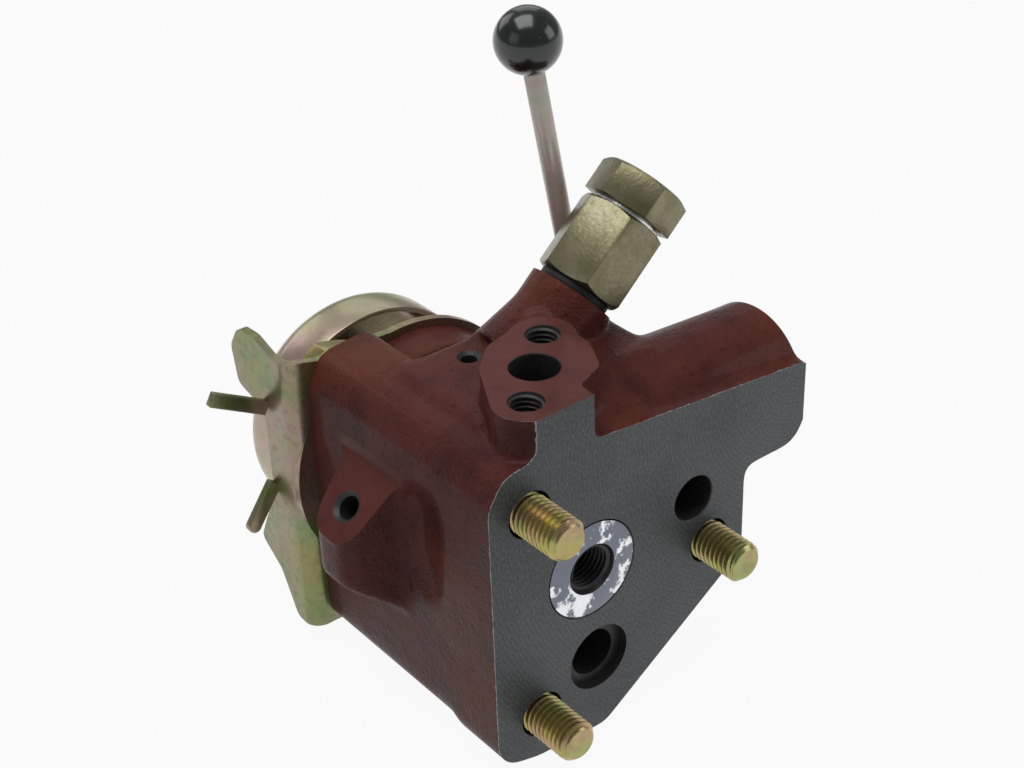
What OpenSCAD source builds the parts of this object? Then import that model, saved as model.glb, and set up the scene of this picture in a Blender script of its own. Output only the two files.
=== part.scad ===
// Hydraulic damper valve for a tractor: a cast iron body with a machined mounting face,
// a spring-loaded damping plunger, a hand lever on a cross shaft and a capped hex adapter.
// Units are millimetres. X runs along the mounting face, Y goes back from it, Z is up.
// The origin is the plunger's axis at the mounting face.

/* [Mounting face] */
// distance from the plunger's axis to the left edge of the face
face_left = 33.7; // [32:0.1:36]
// distance from the plunger's axis to the right edge of the face
face_right = 56.3; // [54:0.1:60]
// height of the straight part of the left edge above the axis
face_shoulder_z = 34; // [32:0.5:36]
// depth of the lowest edge below the axis
face_bottom = 56; // [54:0.1:60]
// thickness of the mounting flange
flange_t = 20.5; // [18:0.5:24]
// corner radius at the foot of the face
face_corner_r = 9; // [6:0.5:10]

/* [Body casting] */
// overall depth of the casting from face to bracket seat
body_d = 82; // [80:0.5:86]
// height of the flat top of the casting
top_z = 44.4; // [43.5:0.1:46]
// right side of the tall left block
block_right = 13.5; // [12:0.5:14]
// depth of the block under the pad and the neck
mid_d = 59.7; // [58:0.1:61]
// radius of the round rear flange behind the bracket
rear_flange_r = 37.5; // [36:0.5:39]
// thickness of the round rear flange
rear_flange_t = 14; // [10:0.5:18]
// radius of the plunger housing between the flanges
housing_r = 30.5; // [28:0.5:33]
// radius of the shallow hollow in the left side, behind the flange
hollow_r = 14; // [12:0.5:16]
// depth of that hollow
hollow_deep = 2.2; // [1.5:0.1:3]

/* [Side boss] */
// distance of the boss's hole from the plunger's axis
boss_x = 42.9; // [42:0.1:44]
// depth of the hole behind the face
boss_hole_y = 52; // [51:0.1:53]
// height of the hole on the boss's slanted face
boss_hole_z = 12.8; // [12:0.1:14]
// width of the boss at its rounded end
boss_w = 16.4; // [15:0.1:17]
// width of the boss where it leaves the casting
boss_root_w = 24; // [22:0.1:25]
// drilled diameter of the hole in the boss
boss_hole_d = 6.8; // [5:0.1:7]
// depth of that hole
boss_hole_deep = 14; // [10:1:16]

/* [Top pad] */
// height of the pad's machined top
pad_z = 54.6; // [53:0.1:57]
// place of the pad's port along the face
pad_x = -1.4; // [-2:0.1:0]
// place of the pad's port behind the face
pad_y = 20.6; // [20:0.1:22]
// distance between the two pad screws
pad_pitch = 34; // [33:0.5:36]
// angle of the line through the pad screws
pad_turn = 43.7; // [42:0.1:46]
// diameter of the pad's port
pad_port_d = 13.8; // [12:0.1:15]
// depth of the pad's port
pad_port_depth = 26; // [20:1:30]
// thread size of the pad screws
pad_screw_d = 10; // [8:0.5:10]
// depth of the threaded pad holes
pad_screw_depth = 17; // [14:0.5:18]
// distance from the plunger's axis to the left end of the pad's front edge
pad_left = 16.6; // [15:0.1:17]
// distance from the plunger's axis to the right end of the pad's front edge
pad_right = 1.4; // [1:0.1:2]
// corner radius round the pad screws
pad_end_r = 9.2; // [8.5:0.1:10]
// radius of the pad round its port
pad_mid_r = 14.4; // [13.5:0.1:15.5]

/* [Ports in the face] */
// diameter of the counterbored lower port
low_port_d = 14.3; // [12:0.1:15]
// diameter of the lower port's counterbore
low_bore_d = 20.4; // [19:0.1:22]
// depth of the lower port's counterbore
low_bore_depth = 3; // [2:0.1:4]
// place of the lower port along the face
low_port_x = 2; // [1:0.1:3]
// place of the lower port below the axis
low_port_z = -31.2; // [-32:0.1:-30]
// diameter of the right port
side_port_d = 13.8; // [12:0.1:15]
// place of the right port along the face
side_port_x = 36.9; // [36:0.1:38]
// place of the right port above the axis
side_port_z = 6.1; // [5:0.1:7]
// depth of the lower port
port_depth = 30; // [24:1:34]
// depth of the right port, which ends before the right bolt's seat
side_depth = 18; // [14:1:19]

/* [Spool arm] */
// distance from the plunger's axis to the arm's end
arm_end = 79.3; // [78:0.1:84]
// radius of the arm at its end
arm_r = 19.2; // [18.5:0.1:20]
// radius of the arm where it leaves the casting
arm_root_r = 23.6; // [22:0.1:24.5]
// depth of the arm's axis behind the face
arm_y = 20.5; // [20:0.1:22]
// height of the arm's axis
arm_z = 23; // [22.5:0.1:24]
// lower edge of the arm on the face
arm_low_z = 8; // [7.5:0.1:9]
// height of the face's upper edge above the arm's axis, at the arm's end
arm_top_rise = 10.4; // [10:0.1:11]
// height of the face's upper edge above the arm's axis, beside the pad
arm_root_rise = 18; // [17:0.1:19]
// thread diameter of the plug sunk in the arm's end
plug_d = 22; // [20:0.5:24]
// length of that plug
plug_l = 12; // [10:0.5:14]
// width across flats of its hexagon socket
plug_af = 12; // [10:0.5:14]

/* [Neck and adapter] */
// lean of the neck from upright
neck_tilt = 47.7; // [46:0.1:49]
// place of the neck's end face along X
neck_x = 33.5; // [33:0.1:35]
// depth of the neck's axis behind the face
neck_y = 47.2; // [46.5:0.1:47.5]
// height of the middle of the neck's end face
neck_z = 52.4; // [52:0.1:54]
// radius of the neck
neck_r = 12.9; // [12.4:0.1:13.2]
// width across flats of the adapter and its cap
hex_af = 24; // [22:0.1:25]
// length of the adapter's hexagon
adapter_h = 23.6; // [22:0.1:26]
// thread diameter of the adapter
adapter_d = 16; // [14:0.5:17]
// height of the cap's head
cap_h = 10.5; // [8:0.1:12]
// thickness of the black seal ring
seal_t = 2.4; // [2:0.1:3]
// thickness of the bright washer under the cap
bright_t = 1.4; // [1:0.1:2]
// turn of the adapter's flats about its axis
adapter_turn = 26; // [20:1:30]
// turn of the cap's flats about its axis
cap_turn = 4.5; // [0:0.5:10]

/* [Through bolts] */
// thread diameter of the mounting bolts
bolt_d = 12; // [10:0.5:12]
// clearance hole for the mounting bolts
bolt_hole_d = 13.5; // [13:0.1:14]
// how far the bolts stand out of the face
bolt_out = 16; // [14:0.5:20]
// width across flats of the bolt heads
bolt_af = 19; // [17:0.5:20]
// height of the bolt heads
bolt_head_h = 7.5; // [6.5:0.1:8]
// diameter of the bolt washers
washer_d = 24; // [22:0.5:24]
// thickness of the bolt washers
washer_t = 2.5; // [2:0.1:3]
// upper left bolt along the face
bolt_a_x = -20.4; // [-21:0.1:-20]
// upper left bolt above the axis
bolt_a_z = 27.5; // [27:0.1:28]
// right bolt along the face
bolt_b_x = 43.2; // [42:0.1:44]
// right bolt below the axis
bolt_b_z = -11.2; // [-12:0.1:-10.5]
// lower left bolt along the face
bolt_c_x = -18.4; // [-19:0.1:-18]
// lower left bolt below the axis
bolt_c_z = -40.3; // [-41:0.1:-39.5]

/* [Damping plunger] */
// diameter of the plunger's head
plunger_d = 29.3; // [28:0.1:31]
// length of the plunger's head
plunger_head = 22; // [18:0.5:26]
// diameter of the plunger's rod
rod_d = 16; // [14:0.5:18]
// radial running clearance of the plunger
run_gap = 0.05; // [0.03:0.01:0.09]
// outward travel of the plunger
travel = 5; // [3:0.5:5]
// drilled diameter of the threaded hole in the plunger
tap_d = 12.4; // [11:0.1:13]
// depth of that threaded hole
tap_depth = 18; // [14:0.5:20]

/* [Spring cup] */
// outer radius of the cup
cup_r = 36.2; // [35:0.1:36.6]
// distance from the face to the cup's mouth
cup_mouth_y = 99.8; // [99.5:0.1:103]
// overall depth of the cup
cup_d = 18.7; // [17:0.1:22]
// sheet thickness of the cup
cup_t = 1.6; // [1.2:0.1:2]
// radius of the cup's rounded rear edge
cup_edge_r = 8; // [5:0.5:10]
// wire diameter of the spring
wire_d = 4; // [3:0.1:4.5]
// mean radius of the spring
spring_r = 16.5; // [15:0.1:17]
// turns of the spring
spring_turns = 4; // [3:0.5:5]
// width across flats of the plunger's nut
nut_af = 22; // [19:0.5:24]
// height of that nut
nut_h = 10; // [8:0.5:12]

/* [Bracket] */
// sheet thickness of the bracket
sheet_t = 2.5; // [2:0.1:3]
// distance from the plunger's axis to the bracket's outer side
bracket_left = 39.7; // [39.4:0.1:41]
// bend radius of the bracket, outside
bend_r = 5; // [4:0.5:6]
// upper edge of the bracket
bracket_top = 42.4; // [41:0.1:44]
// lower edge of the bracket
bracket_low = -51.2; // [-53:0.1:-50]
// radius of the bracket round the plunger
bracket_r = 39.8; // [39:0.1:41]
// reach of the ear behind the face
ear_y = 112.5; // [110:0.5:115]
// height of the ear's highest edge
ear_top = 44; // [43:0.1:46]
// height of the ear's rounded outer corner
ear_side = 36; // [34:0.5:37]
// height of the ear's foot, at the upper side of the notch
ear_foot = 20.5; // [19:0.1:21]
// depth of the notch's floor behind the face
notch_y = 97; // [96:0.1:99]
// height of the notch's lower side
notch_low = -8; // [-10:0.1:-6]
// height of the lower lobe's tip
lobe_z = -29; // [-31:0.1:-27]
// width of the two bent-out prongs
prong_w = 4.2; // [4:0.1:5]

/* [Hand lever] */
// place of the lever shaft along X
shaft_x = 54.8; // [54:0.1:56]
// height of the lever shaft above the plunger's axis
shaft_z = 17; // [15:0.5:18]
// diameter of the lever shaft
shaft_d = 12; // [10:0.5:13]
// distance from the casting's middle part back to the lever rod's plane
lever_gap = 6.6; // [6.6:0.1:9]
// outer radius of the lever hub
hub_r = 9.5; // [9:0.1:11]
// length of the lever hub along the shaft
hub_l = 11; // [10:0.5:12]
// diameter of the lever rod
lever_d = 6; // [5:0.1:7]
// distance from the shaft to the middle of the ball
lever_len = 105.9; // [95:0.1:115]
// lean of the lever at rest
lever_lean = 10.4; // [5:0.1:15]
// diameter of the ball knob
ball_d = 19; // [18:0.5:25]
// diameter of the clamp screw in the hub
clamp_d = 4; // [3:0.5:5]

/* [Hidden] */
$fn = 96;
red_paint = [0.42, 0.10, 0.08];
zinc = [0.72, 0.68, 0.42];
steel = [0.72, 0.73, 0.75];
black = [0.04, 0.04, 0.045];
silver = [0.82, 0.83, 0.84];
play = 0.3;
slack = 0.1;
overlap = 2;
far = 300;
hex_sides = 6;
chamfer = 1.2;
shank_less = 1.1;
thread_end = 0.5;
lever_y = mid_d + lever_gap;
block_low = face_bottom - 3.5;
seat_y = body_d;
plate_y = body_d + sheet_t;
bolt_seat_y = plate_y + washer_t;
boss_y = flange_t + 1;
shoulder_y = plunger_head;
pad_screw_a = [pad_x + pad_pitch / 2 * cos(pad_turn), pad_y + pad_pitch / 2 * sin(pad_turn)];
pad_screw_b = [pad_x - pad_pitch / 2 * cos(pad_turn), pad_y - pad_pitch / 2 * sin(pad_turn)];
shaft_seat_y = lever_y - hub_l / 2 - play;
shaft_in = 16;
cup_back_y = cup_mouth_y + cup_d;
spring_len = cup_back_y - cup_t - plate_y - travel - play;
plug_sunk = 0.8;
boss_end_x = boss_x + 6.9;
boss_end_r = 7;
boss_slope = 0.78;
boss_foot = 8.5;
small_hole_d = 3.6;
small_hole_x = -0.9;
small_hole_y = 50.4;
prong_up = [[-40, 22.6], [-55.6, 31.5]];
prong_down = [[-40, -3], [-48.6, -15]];
neck_deep = 16;
neck_len = 40;
neck_foot = 9;
neck_rise = 15;
neck_foot_r = 16.5;
hollow_y = 29.5;
hollow_low = -4;
hollow_high = 18;
seal_r = hex_af / 2 - 1.2;
bearing_r = hub_r + 0.8;

// a flat outline in X and Z, given depth from one Y to another
module deep(y0, y1) {
    translate([0, y1, 0])
        rotate([90, 0, 0])
            linear_extrude(height = y1 - y0)
                children();
}

// a round bar along Y
module bar_y(x, z, d, y0, y1) {
    deep(y0, y1)
        translate([x, z])
            circle(d = d);
}

// a hexagon of a given width across flats
module hex_flat(af, turn = 0) {
    rotate(turn)
        circle(d = af / cos(30), $fn = hex_sides);
}

// a hexagonal prism with its top, and if low is set its foot too, turned to a chamfer
module hex_head(af, h, turn = 0, low = false) {
    reach = af / cos(30) / 2;
    lip = (reach - af / 2) * 1.1;
    rise = lip * 0.6;
    intersection() {
        linear_extrude(height = h)
            hex_flat(af, turn);
        rotate_extrude()
            polygon([
                [0, 0],
                [low ? reach - lip : reach + slack, 0],
                [reach + slack, low ? rise : 0],
                [reach + slack, h - rise],
                [reach - lip, h],
                [0, h]
            ]);
    }
}

function unit(v) = v / norm(v);
function bisect(p, q, s) = unit(unit(p - q) + unit(s - q));
function half_angle(p, q, s) = acos(unit(p - q) * unit(s - q)) / 2;
function turn_of(p, q, s) = (q[0] - p[0]) * (s[1] - q[1]) - (q[1] - p[1]) * (s[0] - q[0]);

// an outline with true round corners; the points run anticlockwise as [x, y, corner radius]
module soft_outline(points) {
    count = len(points);
    xy = [for (p = points) [p[0], p[1]]];
    before = [for (i = [0:count - 1]) xy[(i + count - 1) % count]];
    after = [for (i = [0:count - 1]) xy[(i + 1) % count]];
    back = [for (i = [0:count - 1]) points[i][2] / tan(half_angle(before[i], xy[i], after[i]))];
    out = [for (i = [0:count - 1]) points[i][2] / sin(half_angle(before[i], xy[i], after[i]))];
    mids = [for (i = [0:count - 1]) xy[i] + bisect(before[i], xy[i], after[i]) * out[i]];
    cut = [for (i = [0:count - 1]) each [
        xy[i] + unit(before[i] - xy[i]) * back[i],
        xy[i] + unit(after[i] - xy[i]) * back[i]]];
    difference() {
        union() {
            polygon(cut);
            for (i = [0:count - 1])
                if (turn_of(before[i], xy[i], after[i]) > 0)
                    translate(mids[i])
                        circle(r = points[i][2]);
        }
        for (i = [0:count - 1])
            if (turn_of(before[i], xy[i], after[i]) < 0)
                translate(mids[i])
                    circle(r = points[i][2]);
    }
}

// the machined mounting face, seen from behind with X to the right
module face_outline() {
    soft_outline([
        [-face_left, -face_bottom + 5, face_corner_r],
        [-20, -face_bottom + 1.5, 6],
        [4, -face_bottom, 5],
        [face_right, -21, 4],
        [face_right, arm_low_z, 3.5],
        [arm_end, arm_low_z, 8],
        [arm_end, arm_z + arm_top_rise, 1.5],
        [pad_right, arm_z + arm_root_rise, 1.5],
        [pad_right, pad_z, 0.3],
        [-pad_left, pad_z, 0.3],
        [-pad_left, top_z - 0.4, 2],
        [-face_left + 5.2, top_z - 3.8, 3],
        [-face_left, face_shoulder_z, 3]
    ]);
}

// the tall block at the left, which carries the two long bolts
module block_outline() {
    soft_outline([
        [-face_left, -block_low + 2.5, face_corner_r],
        [-block_right + 4, -block_low, 8],
        [-block_right + 4, top_z - 0.4, 5],
        [-face_left + 5.2, top_z - 2.4, 6],
        [-face_left, face_shoulder_z, 3]
    ]);
}

// the raised pad round the top port
module pad_outline() {
    translate([pad_x, pad_y])
        rotate(pad_turn) {
            circle(r = pad_mid_r);
            for (side = [-1, 1])
                translate([side * pad_pitch / 2, 0])
                    circle(r = pad_end_r);
            polygon([
                [-pad_pitch / 2 - 2, -pad_end_r + 0.25],
                [-5, -pad_mid_r + 0.9],
                [5, -pad_mid_r + 0.9],
                [pad_pitch / 2 + 2, -pad_end_r + 0.25],
                [pad_pitch / 2 + 2, pad_end_r - 0.25],
                [5, pad_mid_r - 0.9],
                [-5, pad_mid_r - 0.9],
                [-pad_pitch / 2 - 2, pad_end_r - 0.25]
            ]);
        }
    polygon([
        [-pad_left, 0],
        [pad_right, 0],
        [pad_right, 6],
        [12, 10],
        [18, 22],
        [0, 26],
        [-14, 12],
        [-pad_left - 0.9, 1.5]
    ]);
}

module plunger_bore() {
    bar_y(0, 0, plunger_d + 2 * run_gap, -slack, shoulder_y);
    bar_y(0, 0, rod_d + 2 * run_gap, 0, body_d + slack);
}

module face_ports() {
    bar_y(low_port_x, low_port_z, low_port_d, -slack, port_depth);
    bar_y(low_port_x, low_port_z, low_bore_d, -slack, low_bore_depth);
    bar_y(side_port_x, side_port_z, side_port_d, -slack, side_depth);
}

module bolt_holes() {
    bar_y(bolt_a_x, bolt_a_z, bolt_hole_d, -slack, body_d + slack);
    bar_y(bolt_c_x, bolt_c_z, bolt_hole_d, -slack, body_d + slack);
    bar_y(bolt_b_x, bolt_b_z, bolt_hole_d, -slack, body_d + slack);
}

module pad_cuts() {
    translate([pad_x, pad_y, pad_z - pad_port_depth])
        cylinder(d = pad_port_d, h = pad_port_depth + slack);
    for (p = [pad_screw_a, pad_screw_b]) {
        translate([p[0], p[1], pad_z - pad_screw_depth])
            cylinder(d = pad_screw_d - 1.5, h = pad_screw_depth + slack);
        translate([p[0], p[1], pad_z - 1])
            cylinder(d1 = pad_screw_d - 1.5, d2 = pad_screw_d + 0.7, h = 1 + slack);
    }
    translate([small_hole_x, small_hole_y, top_z - 14]) {
        cylinder(d = small_hole_d, h = 14 + slack);
        translate([0, 0, 13])
            cylinder(d1 = small_hole_d, d2 = small_hole_d + 2.4, h = 1 + slack);
    }
}

// carries its children to the neck's end face, with Z along the neck
module at_neck() {
    translate([neck_x, neck_y, neck_z])
        rotate([0, neck_tilt, 0])
            children();
}

// carries its children to the hole in the side boss, with Z out of its slanted face
module at_boss() {
    translate([-boss_x, boss_hole_y, boss_hole_z])
        rotate([0, -45, 0])
            children();
}

// the boss on the left side: upright, rounded in plan, cut at 45 degrees on top and sloped under its foot
module side_boss() {
    inner_x = -face_left + 8;
    outer_x = -boss_end_x - 1;
    intersection() {
        translate([0, 0, -far / 2])
            linear_extrude(height = far)
                soft_outline([
                    [inner_x, boss_hole_y - boss_root_w / 2, 1],
                    [inner_x, boss_hole_y + boss_root_w / 2, 1],
                    [-face_left, boss_hole_y + boss_root_w / 2, 1],
                    [-boss_end_x, boss_hole_y + boss_w / 2, boss_end_r],
                    [-boss_end_x, boss_hole_y - boss_w / 2, boss_end_r],
                    [-face_left, boss_hole_y - boss_root_w / 2, 1]
                ]);
        deep(boss_hole_y - boss_root_w, boss_hole_y + boss_root_w)
            polygon([
                [inner_x, boss_hole_z + inner_x + boss_x],
                [outer_x, boss_hole_z + outer_x + boss_x],
                [outer_x, -boss_foot + boss_slope],
                [inner_x, -boss_foot - boss_slope * (boss_end_x + inner_x)]
            ]);
    }
}

module body() {
    color(red_paint)
        difference() {
            union() {
                deep(0, flange_t)
                    face_outline();
                difference() {
                    deep(0, seat_y)
                        block_outline();
                    translate([-face_left - hollow_r + hollow_deep, hollow_y, hollow_low]) {
                        sphere(r = hollow_r);
                        cylinder(r = hollow_r, h = hollow_high - hollow_low);
                        translate([0, 0, hollow_high - hollow_low])
                            sphere(r = hollow_r);
                    }
                }
                bar_y(0, 0, 2 * housing_r, flange_t - overlap, body_d - overlap);
                difference() {
                    bar_y(0, 0, 2 * rear_flange_r, body_d - rear_flange_t, body_d);
                    translate([-far - face_left + 1, 0, -far / 2])
                        cube([far, far, far]);
                }
                deep(flange_t - overlap, mid_d)
                    soft_outline([
                        [-block_right - 6, 0, 1],
                        [shaft_x - 5.6, 0, 3],
                        [shaft_x - 5.6, neck_z - 16, 4],
                        [neck_x + neck_r * cos(neck_tilt) + 1, neck_z - neck_r * sin(neck_tilt) - 0.4, 1.5],
                        [neck_x - 10, top_z, 2],
                        [-block_right - 6, top_z, 1]
                    ]);
                translate([0, 0, top_z - 6])
                    linear_extrude(height = pad_z - top_z + 6)
                        pad_outline();
                translate([0, arm_y, arm_z])
                    rotate([0, 90, 0])
                        cylinder(r1 = arm_root_r, r2 = arm_r, h = arm_end);
                at_neck() {
                    translate([0, 0, -neck_len])
                        cylinder(r = neck_r, h = neck_len);
                    translate([0, 0, -neck_foot - neck_rise])
                        cylinder(r1 = neck_foot_r, r2 = neck_r, h = neck_rise);
                }
                side_boss();
                bar_y(shaft_x, shaft_z, 2 * bearing_r, arm_y, shaft_seat_y);
                bar_y(bolt_b_x, bolt_b_z, washer_d + 2, flange_t - overlap, boss_y);
            }
            translate([-far / 2, -far, -far / 2])
                cube([far, far, far]);
            plunger_bore();
            face_ports();
            bolt_holes();
            pad_cuts();
            bar_y(bolt_b_x, bolt_b_z, washer_d + 4, boss_y, body_d);
            at_neck()
                translate([0, 0, -neck_deep])
                    cylinder(d = adapter_d, h = neck_deep + slack);
            at_boss() {
                translate([0, 0, -boss_hole_deep])
                    cylinder(d = boss_hole_d, h = boss_hole_deep + 1);
                translate([0, 0, -1])
                    cylinder(d1 = boss_hole_d, d2 = boss_hole_d + 2.6, h = 1 + slack);
            }
            bar_y(shaft_x, shaft_z, shaft_d + 2 * run_gap, shaft_seat_y - shaft_in, shaft_seat_y + slack);
            translate([arm_end - plug_l - plug_sunk, arm_y, arm_z])
                rotate([0, 90, 0]) {
                    cylinder(d = plug_d, h = plug_l + plug_sunk + slack);
                    translate([0, 0, plug_l])
                        cylinder(d1 = plug_d, d2 = plug_d + 2 * plug_sunk, h = plug_sunk + slack);
                }
        }
}

// one mounting bolt, from its head behind seat_at to its chamfered tip
module bolt(x, z, seat_at, out) {
    bar_y(x, z, bolt_d, -out + chamfer, -thread_end);
    bar_y(x, z, bolt_d - shank_less, -thread_end - slack, seat_at);
    translate([x, -out, z])
        rotate([-90, 0, 0])
            cylinder(d1 = bolt_d - 2 * chamfer, d2 = bolt_d, h = chamfer);
    translate([x, seat_at, z])
        rotate([-90, 0, 0])
            hex_head(bolt_af, bolt_head_h, 15);
}

module bolts_long() {
    color(zinc) {
        bolt(bolt_a_x, bolt_a_z, bolt_seat_y, bolt_out);
        bolt(bolt_c_x, bolt_c_z, bolt_seat_y, bolt_out);
    }
}

module bolt_short() {
    color(zinc)
        bolt(bolt_b_x, bolt_b_z, boss_y + washer_t, bolt_out - 1);
}

module bolt_washer(x, z, seat_at) {
    difference() {
        bar_y(x, z, washer_d, seat_at, seat_at + washer_t);
        bar_y(x, z, bolt_d + 1, seat_at - slack, seat_at + washer_t + slack);
    }
}

module bolt_washers() {
    color(zinc) {
        bolt_washer(bolt_a_x, bolt_a_z, plate_y);
        bolt_washer(bolt_c_x, bolt_c_z, plate_y);
        bolt_washer(bolt_b_x, bolt_b_z, boss_y);
    }
}

// the side flange of the bracket in Y and Z, with its ear, notch and lobe
module ear_outline() {
    soft_outline([
        [seat_y + bend_r, bracket_low + 1.5, 0.5],
        [seat_y + bend_r + 4, bracket_low + 1.5, 2],
        [notch_y + 1, lobe_z - 7, 3],
        [notch_y + 10.5, lobe_z, 3],
        [notch_y + 8, lobe_z + 5, 3],
        [notch_y, notch_low, 6],
        [notch_y, ear_foot, 3],
        [ear_y - 2, ear_foot + 3.5, 3],
        [ear_y, ear_side, 4],
        [ear_y - 5, ear_top - 0.5, 5],
        [ear_y - 13, ear_top, 3],
        [seat_y + bend_r + 4, bracket_top - 1, 4],
        [seat_y + bend_r, bracket_top - 1, 0.5]
    ]);
}

module plate_outline() {
    difference() {
        union() {
            circle(r = bracket_r);
            soft_outline([
                [-bracket_left + bend_r, bracket_low, 1],
                [-10, bracket_low, 8],
                [-4, -30, 2],
                [-4, bracket_top - 3, 2],
                [-18, bracket_top, 4],
                [-bracket_left + bend_r, bracket_top - 1, 1]
            ]);
        }
        circle(d = rod_d + 3);
        translate([bolt_a_x, bolt_a_z])
            circle(d = bolt_hole_d);
        translate([bolt_c_x, bolt_c_z])
            circle(d = bolt_hole_d);
    }
}

module bracket() {
    bend_x = -bracket_left + bend_r;
    bend_y = seat_y + bend_r;
    color(zinc) {
        deep(seat_y, plate_y)
            plate_outline();
        translate([-bracket_left, 0, 0])
            rotate([90, 0, 90])
                linear_extrude(height = sheet_t)
                    ear_outline();
        translate([bend_x, bend_y, bracket_low + 1])
            difference() {
                cylinder(r = bend_r, h = bracket_top - bracket_low - 2);
                translate([0, 0, -slack])
                    cylinder(r = bend_r - sheet_t, h = far);
                translate([0, -far / 2, -slack])
                    cube([far, far, far]);
                translate([-far / 2, 0, -slack])
                    cube([far, far, far]);
            }
        prong(prong_up);
        prong(prong_down);
    }
}

// one prong: a strip sheared from the notch and bent out of the bracket's side
module prong(line) {
    along = unit(line[1] - line[0]) * prong_w / 2;
    side = [-along[1], along[0]];
    deep(notch_y - sheet_t, notch_y) {
        polygon([line[0] + side, line[0] - side, line[1] - side, line[1] + side]);
        polygon([line[0] + side, line[0] - side, [1.2 - bracket_left, line[0][1]]]);
        translate(line[1])
            circle(d = prong_w);
    }
}

module plunger() {
    color(steel)
        difference() {
            union() {
                bar_y(0, 0, plunger_d, 0, shoulder_y);
                bar_y(0, 0, rod_d, shoulder_y - slack, cup_back_y + nut_h + 6);
            }
            bar_y(0, 0, tap_d, -slack, tap_depth);
            translate([0, -slack, 0])
                rotate([-90, 0, 0])
                    cylinder(d1 = tap_d + 2.4 + 2 * slack, d2 = tap_d, h = 1.2 + slack);
        }
}

// the drawn sheet cup, revolved about the plunger's axis
module spring_cup() {
    color(zinc)
        translate([0, cup_mouth_y, 0])
            rotate([-90, 0, 0])
                difference() {
                    rotate_extrude()
                        difference() {
                            cup_section(0);
                            cup_section(cup_t);
                        }
                    translate([0, 0, cup_d - cup_t - 1])
                        cylinder(d = rod_d + 2 * slack, h = cup_t + 2);
                }
}

// half section of the cup, drawn in by a given sheet thickness
module cup_section(inset) {
    r = cup_r - inset;
    d = cup_d - inset;
    edge = cup_edge_r - inset;
    square([r - edge, d]);
    translate([0, inset > 0 ? -1 : 0])
        square([r, d - edge + (inset > 0 ? 1 : 0)]);
    translate([r - edge, d - edge])
        intersection() {
            circle(r = edge);
            square(edge + 1);
        }
}

// the buffer spring on the plunger's rod, a round wire swept along its helix, its ends ground flat
module cup_spring() {
    pitch = spring_len / spring_turns;
    spread = 180 * wire_d / pitch;
    steps = 7;
    wire = [for (i = [0:2 * steps - 1]) let (
            k = i < steps ? i : 2 * steps - i,
            side = i < steps ? 1 : -1,
            a = 180 * k / steps,
            r = spring_r + side * wire_d / 2 * sin(a),
            t = -spread * cos(a))
        [r * cos(t), r * sin(t)]];
    color(steel)
        translate([0, cup_back_y - cup_t, 0])
            rotate([90, 0, 0])
                linear_extrude(
                    height = spring_len,
                    twist = -360 * spring_turns,
                    slices = 20 * spring_turns,
                    $fn = 12
                )
                    polygon(wire);
}

module cup_washer() {
    color(zinc)
        difference() {
            bar_y(0, 0, 2 * nut_af * 0.75, cup_back_y, cup_back_y + washer_t);
            bar_y(0, 0, rod_d + 2 * slack, cup_back_y - slack, cup_back_y + washer_t + slack);
        }
}

module cup_nut() {
    color(zinc)
        difference() {
            translate([0, cup_back_y + washer_t, 0])
                rotate([-90, 0, 0])
                    hex_head(nut_af + 2, nut_h - washer_t, 0, true);
            bar_y(0, 0, rod_d, cup_back_y, cup_back_y + nut_h + slack);
        }
}

module adapter() {
    color(zinc)
        at_neck() {
            translate([0, 0, seal_t])
                hex_head(hex_af, adapter_h, adapter_turn, true);
            translate([0, 0, -14])
                cylinder(d = adapter_d, h = 14 + seal_t + 1);
        }
}

module seal_ring() {
    color(black)
        at_neck()
            difference() {
                cylinder(r = seal_r, h = seal_t);
                translate([0, 0, -slack])
                    cylinder(d = adapter_d, h = seal_t + 2 * slack);
            }
}

module seal_washer() {
    color(silver)
        at_neck()
            translate([0, 0, seal_t + adapter_h])
                cylinder(r = seal_r - 0.4, h = bright_t);
}

module cap_plug() {
    color(zinc)
        at_neck()
            translate([0, 0, seal_t + adapter_h + bright_t])
                hex_head(hex_af, cap_h, cap_turn);
}

module lever_shaft() {
    color(steel)
        bar_y(shaft_x, shaft_z, shaft_d, shaft_seat_y - shaft_in + play, lever_y + hub_l / 2 + 1.5);
}

// carries its children to the lever shaft, with Z along the lever rod
module at_lever() {
    translate([shaft_x, lever_y, shaft_z])
        rotate([0, -lever_lean, 0])
            children();
}

module lever_hub() {
    color(zinc)
        difference() {
            union() {
                bar_y(shaft_x, shaft_z, 2 * hub_r, lever_y - hub_l / 2, lever_y + hub_l / 2);
                at_lever()
                    cylinder(r = lever_d / 2 + 2.2, h = hub_r + 7);
            }
            bar_y(shaft_x, shaft_z, shaft_d, lever_y - hub_l, lever_y + hub_l);
            at_lever()
                translate([0, 0, hub_r - 1])
                    cylinder(d = lever_d, h = 2 * hub_r);
            at_lever()
                rotate([0, 180, 0])
                    cylinder(d = clamp_d, h = 2 * hub_r);
        }
}

module clamp_screw() {
    color(zinc)
        at_lever()
            rotate([0, 180, 0])
                translate([0, 0, shaft_d / 2]) {
                    cylinder(d = clamp_d, h = hub_r - shaft_d / 2 + 1);
                    translate([0, 0, hub_r - shaft_d / 2 + 1])
                        hex_head(7, 2.8);
                }
}

module lever_rod() {
    color(zinc)
        at_lever()
            translate([0, 0, hub_r - 1])
                cylinder(d = lever_d, h = lever_len - hub_r + 1);
}

module ball_knob() {
    color(black)
        at_lever()
            translate([0, 0, lever_len])
                difference() {
                    sphere(d = ball_d);
                    translate([0, 0, -ball_d])
                        cylinder(d = lever_d, h = ball_d);
                    translate([0, 0, -ball_d / 2 - 1])
                        cylinder(d = ball_d * 0.42, h = 1.55);
                }
}

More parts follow.
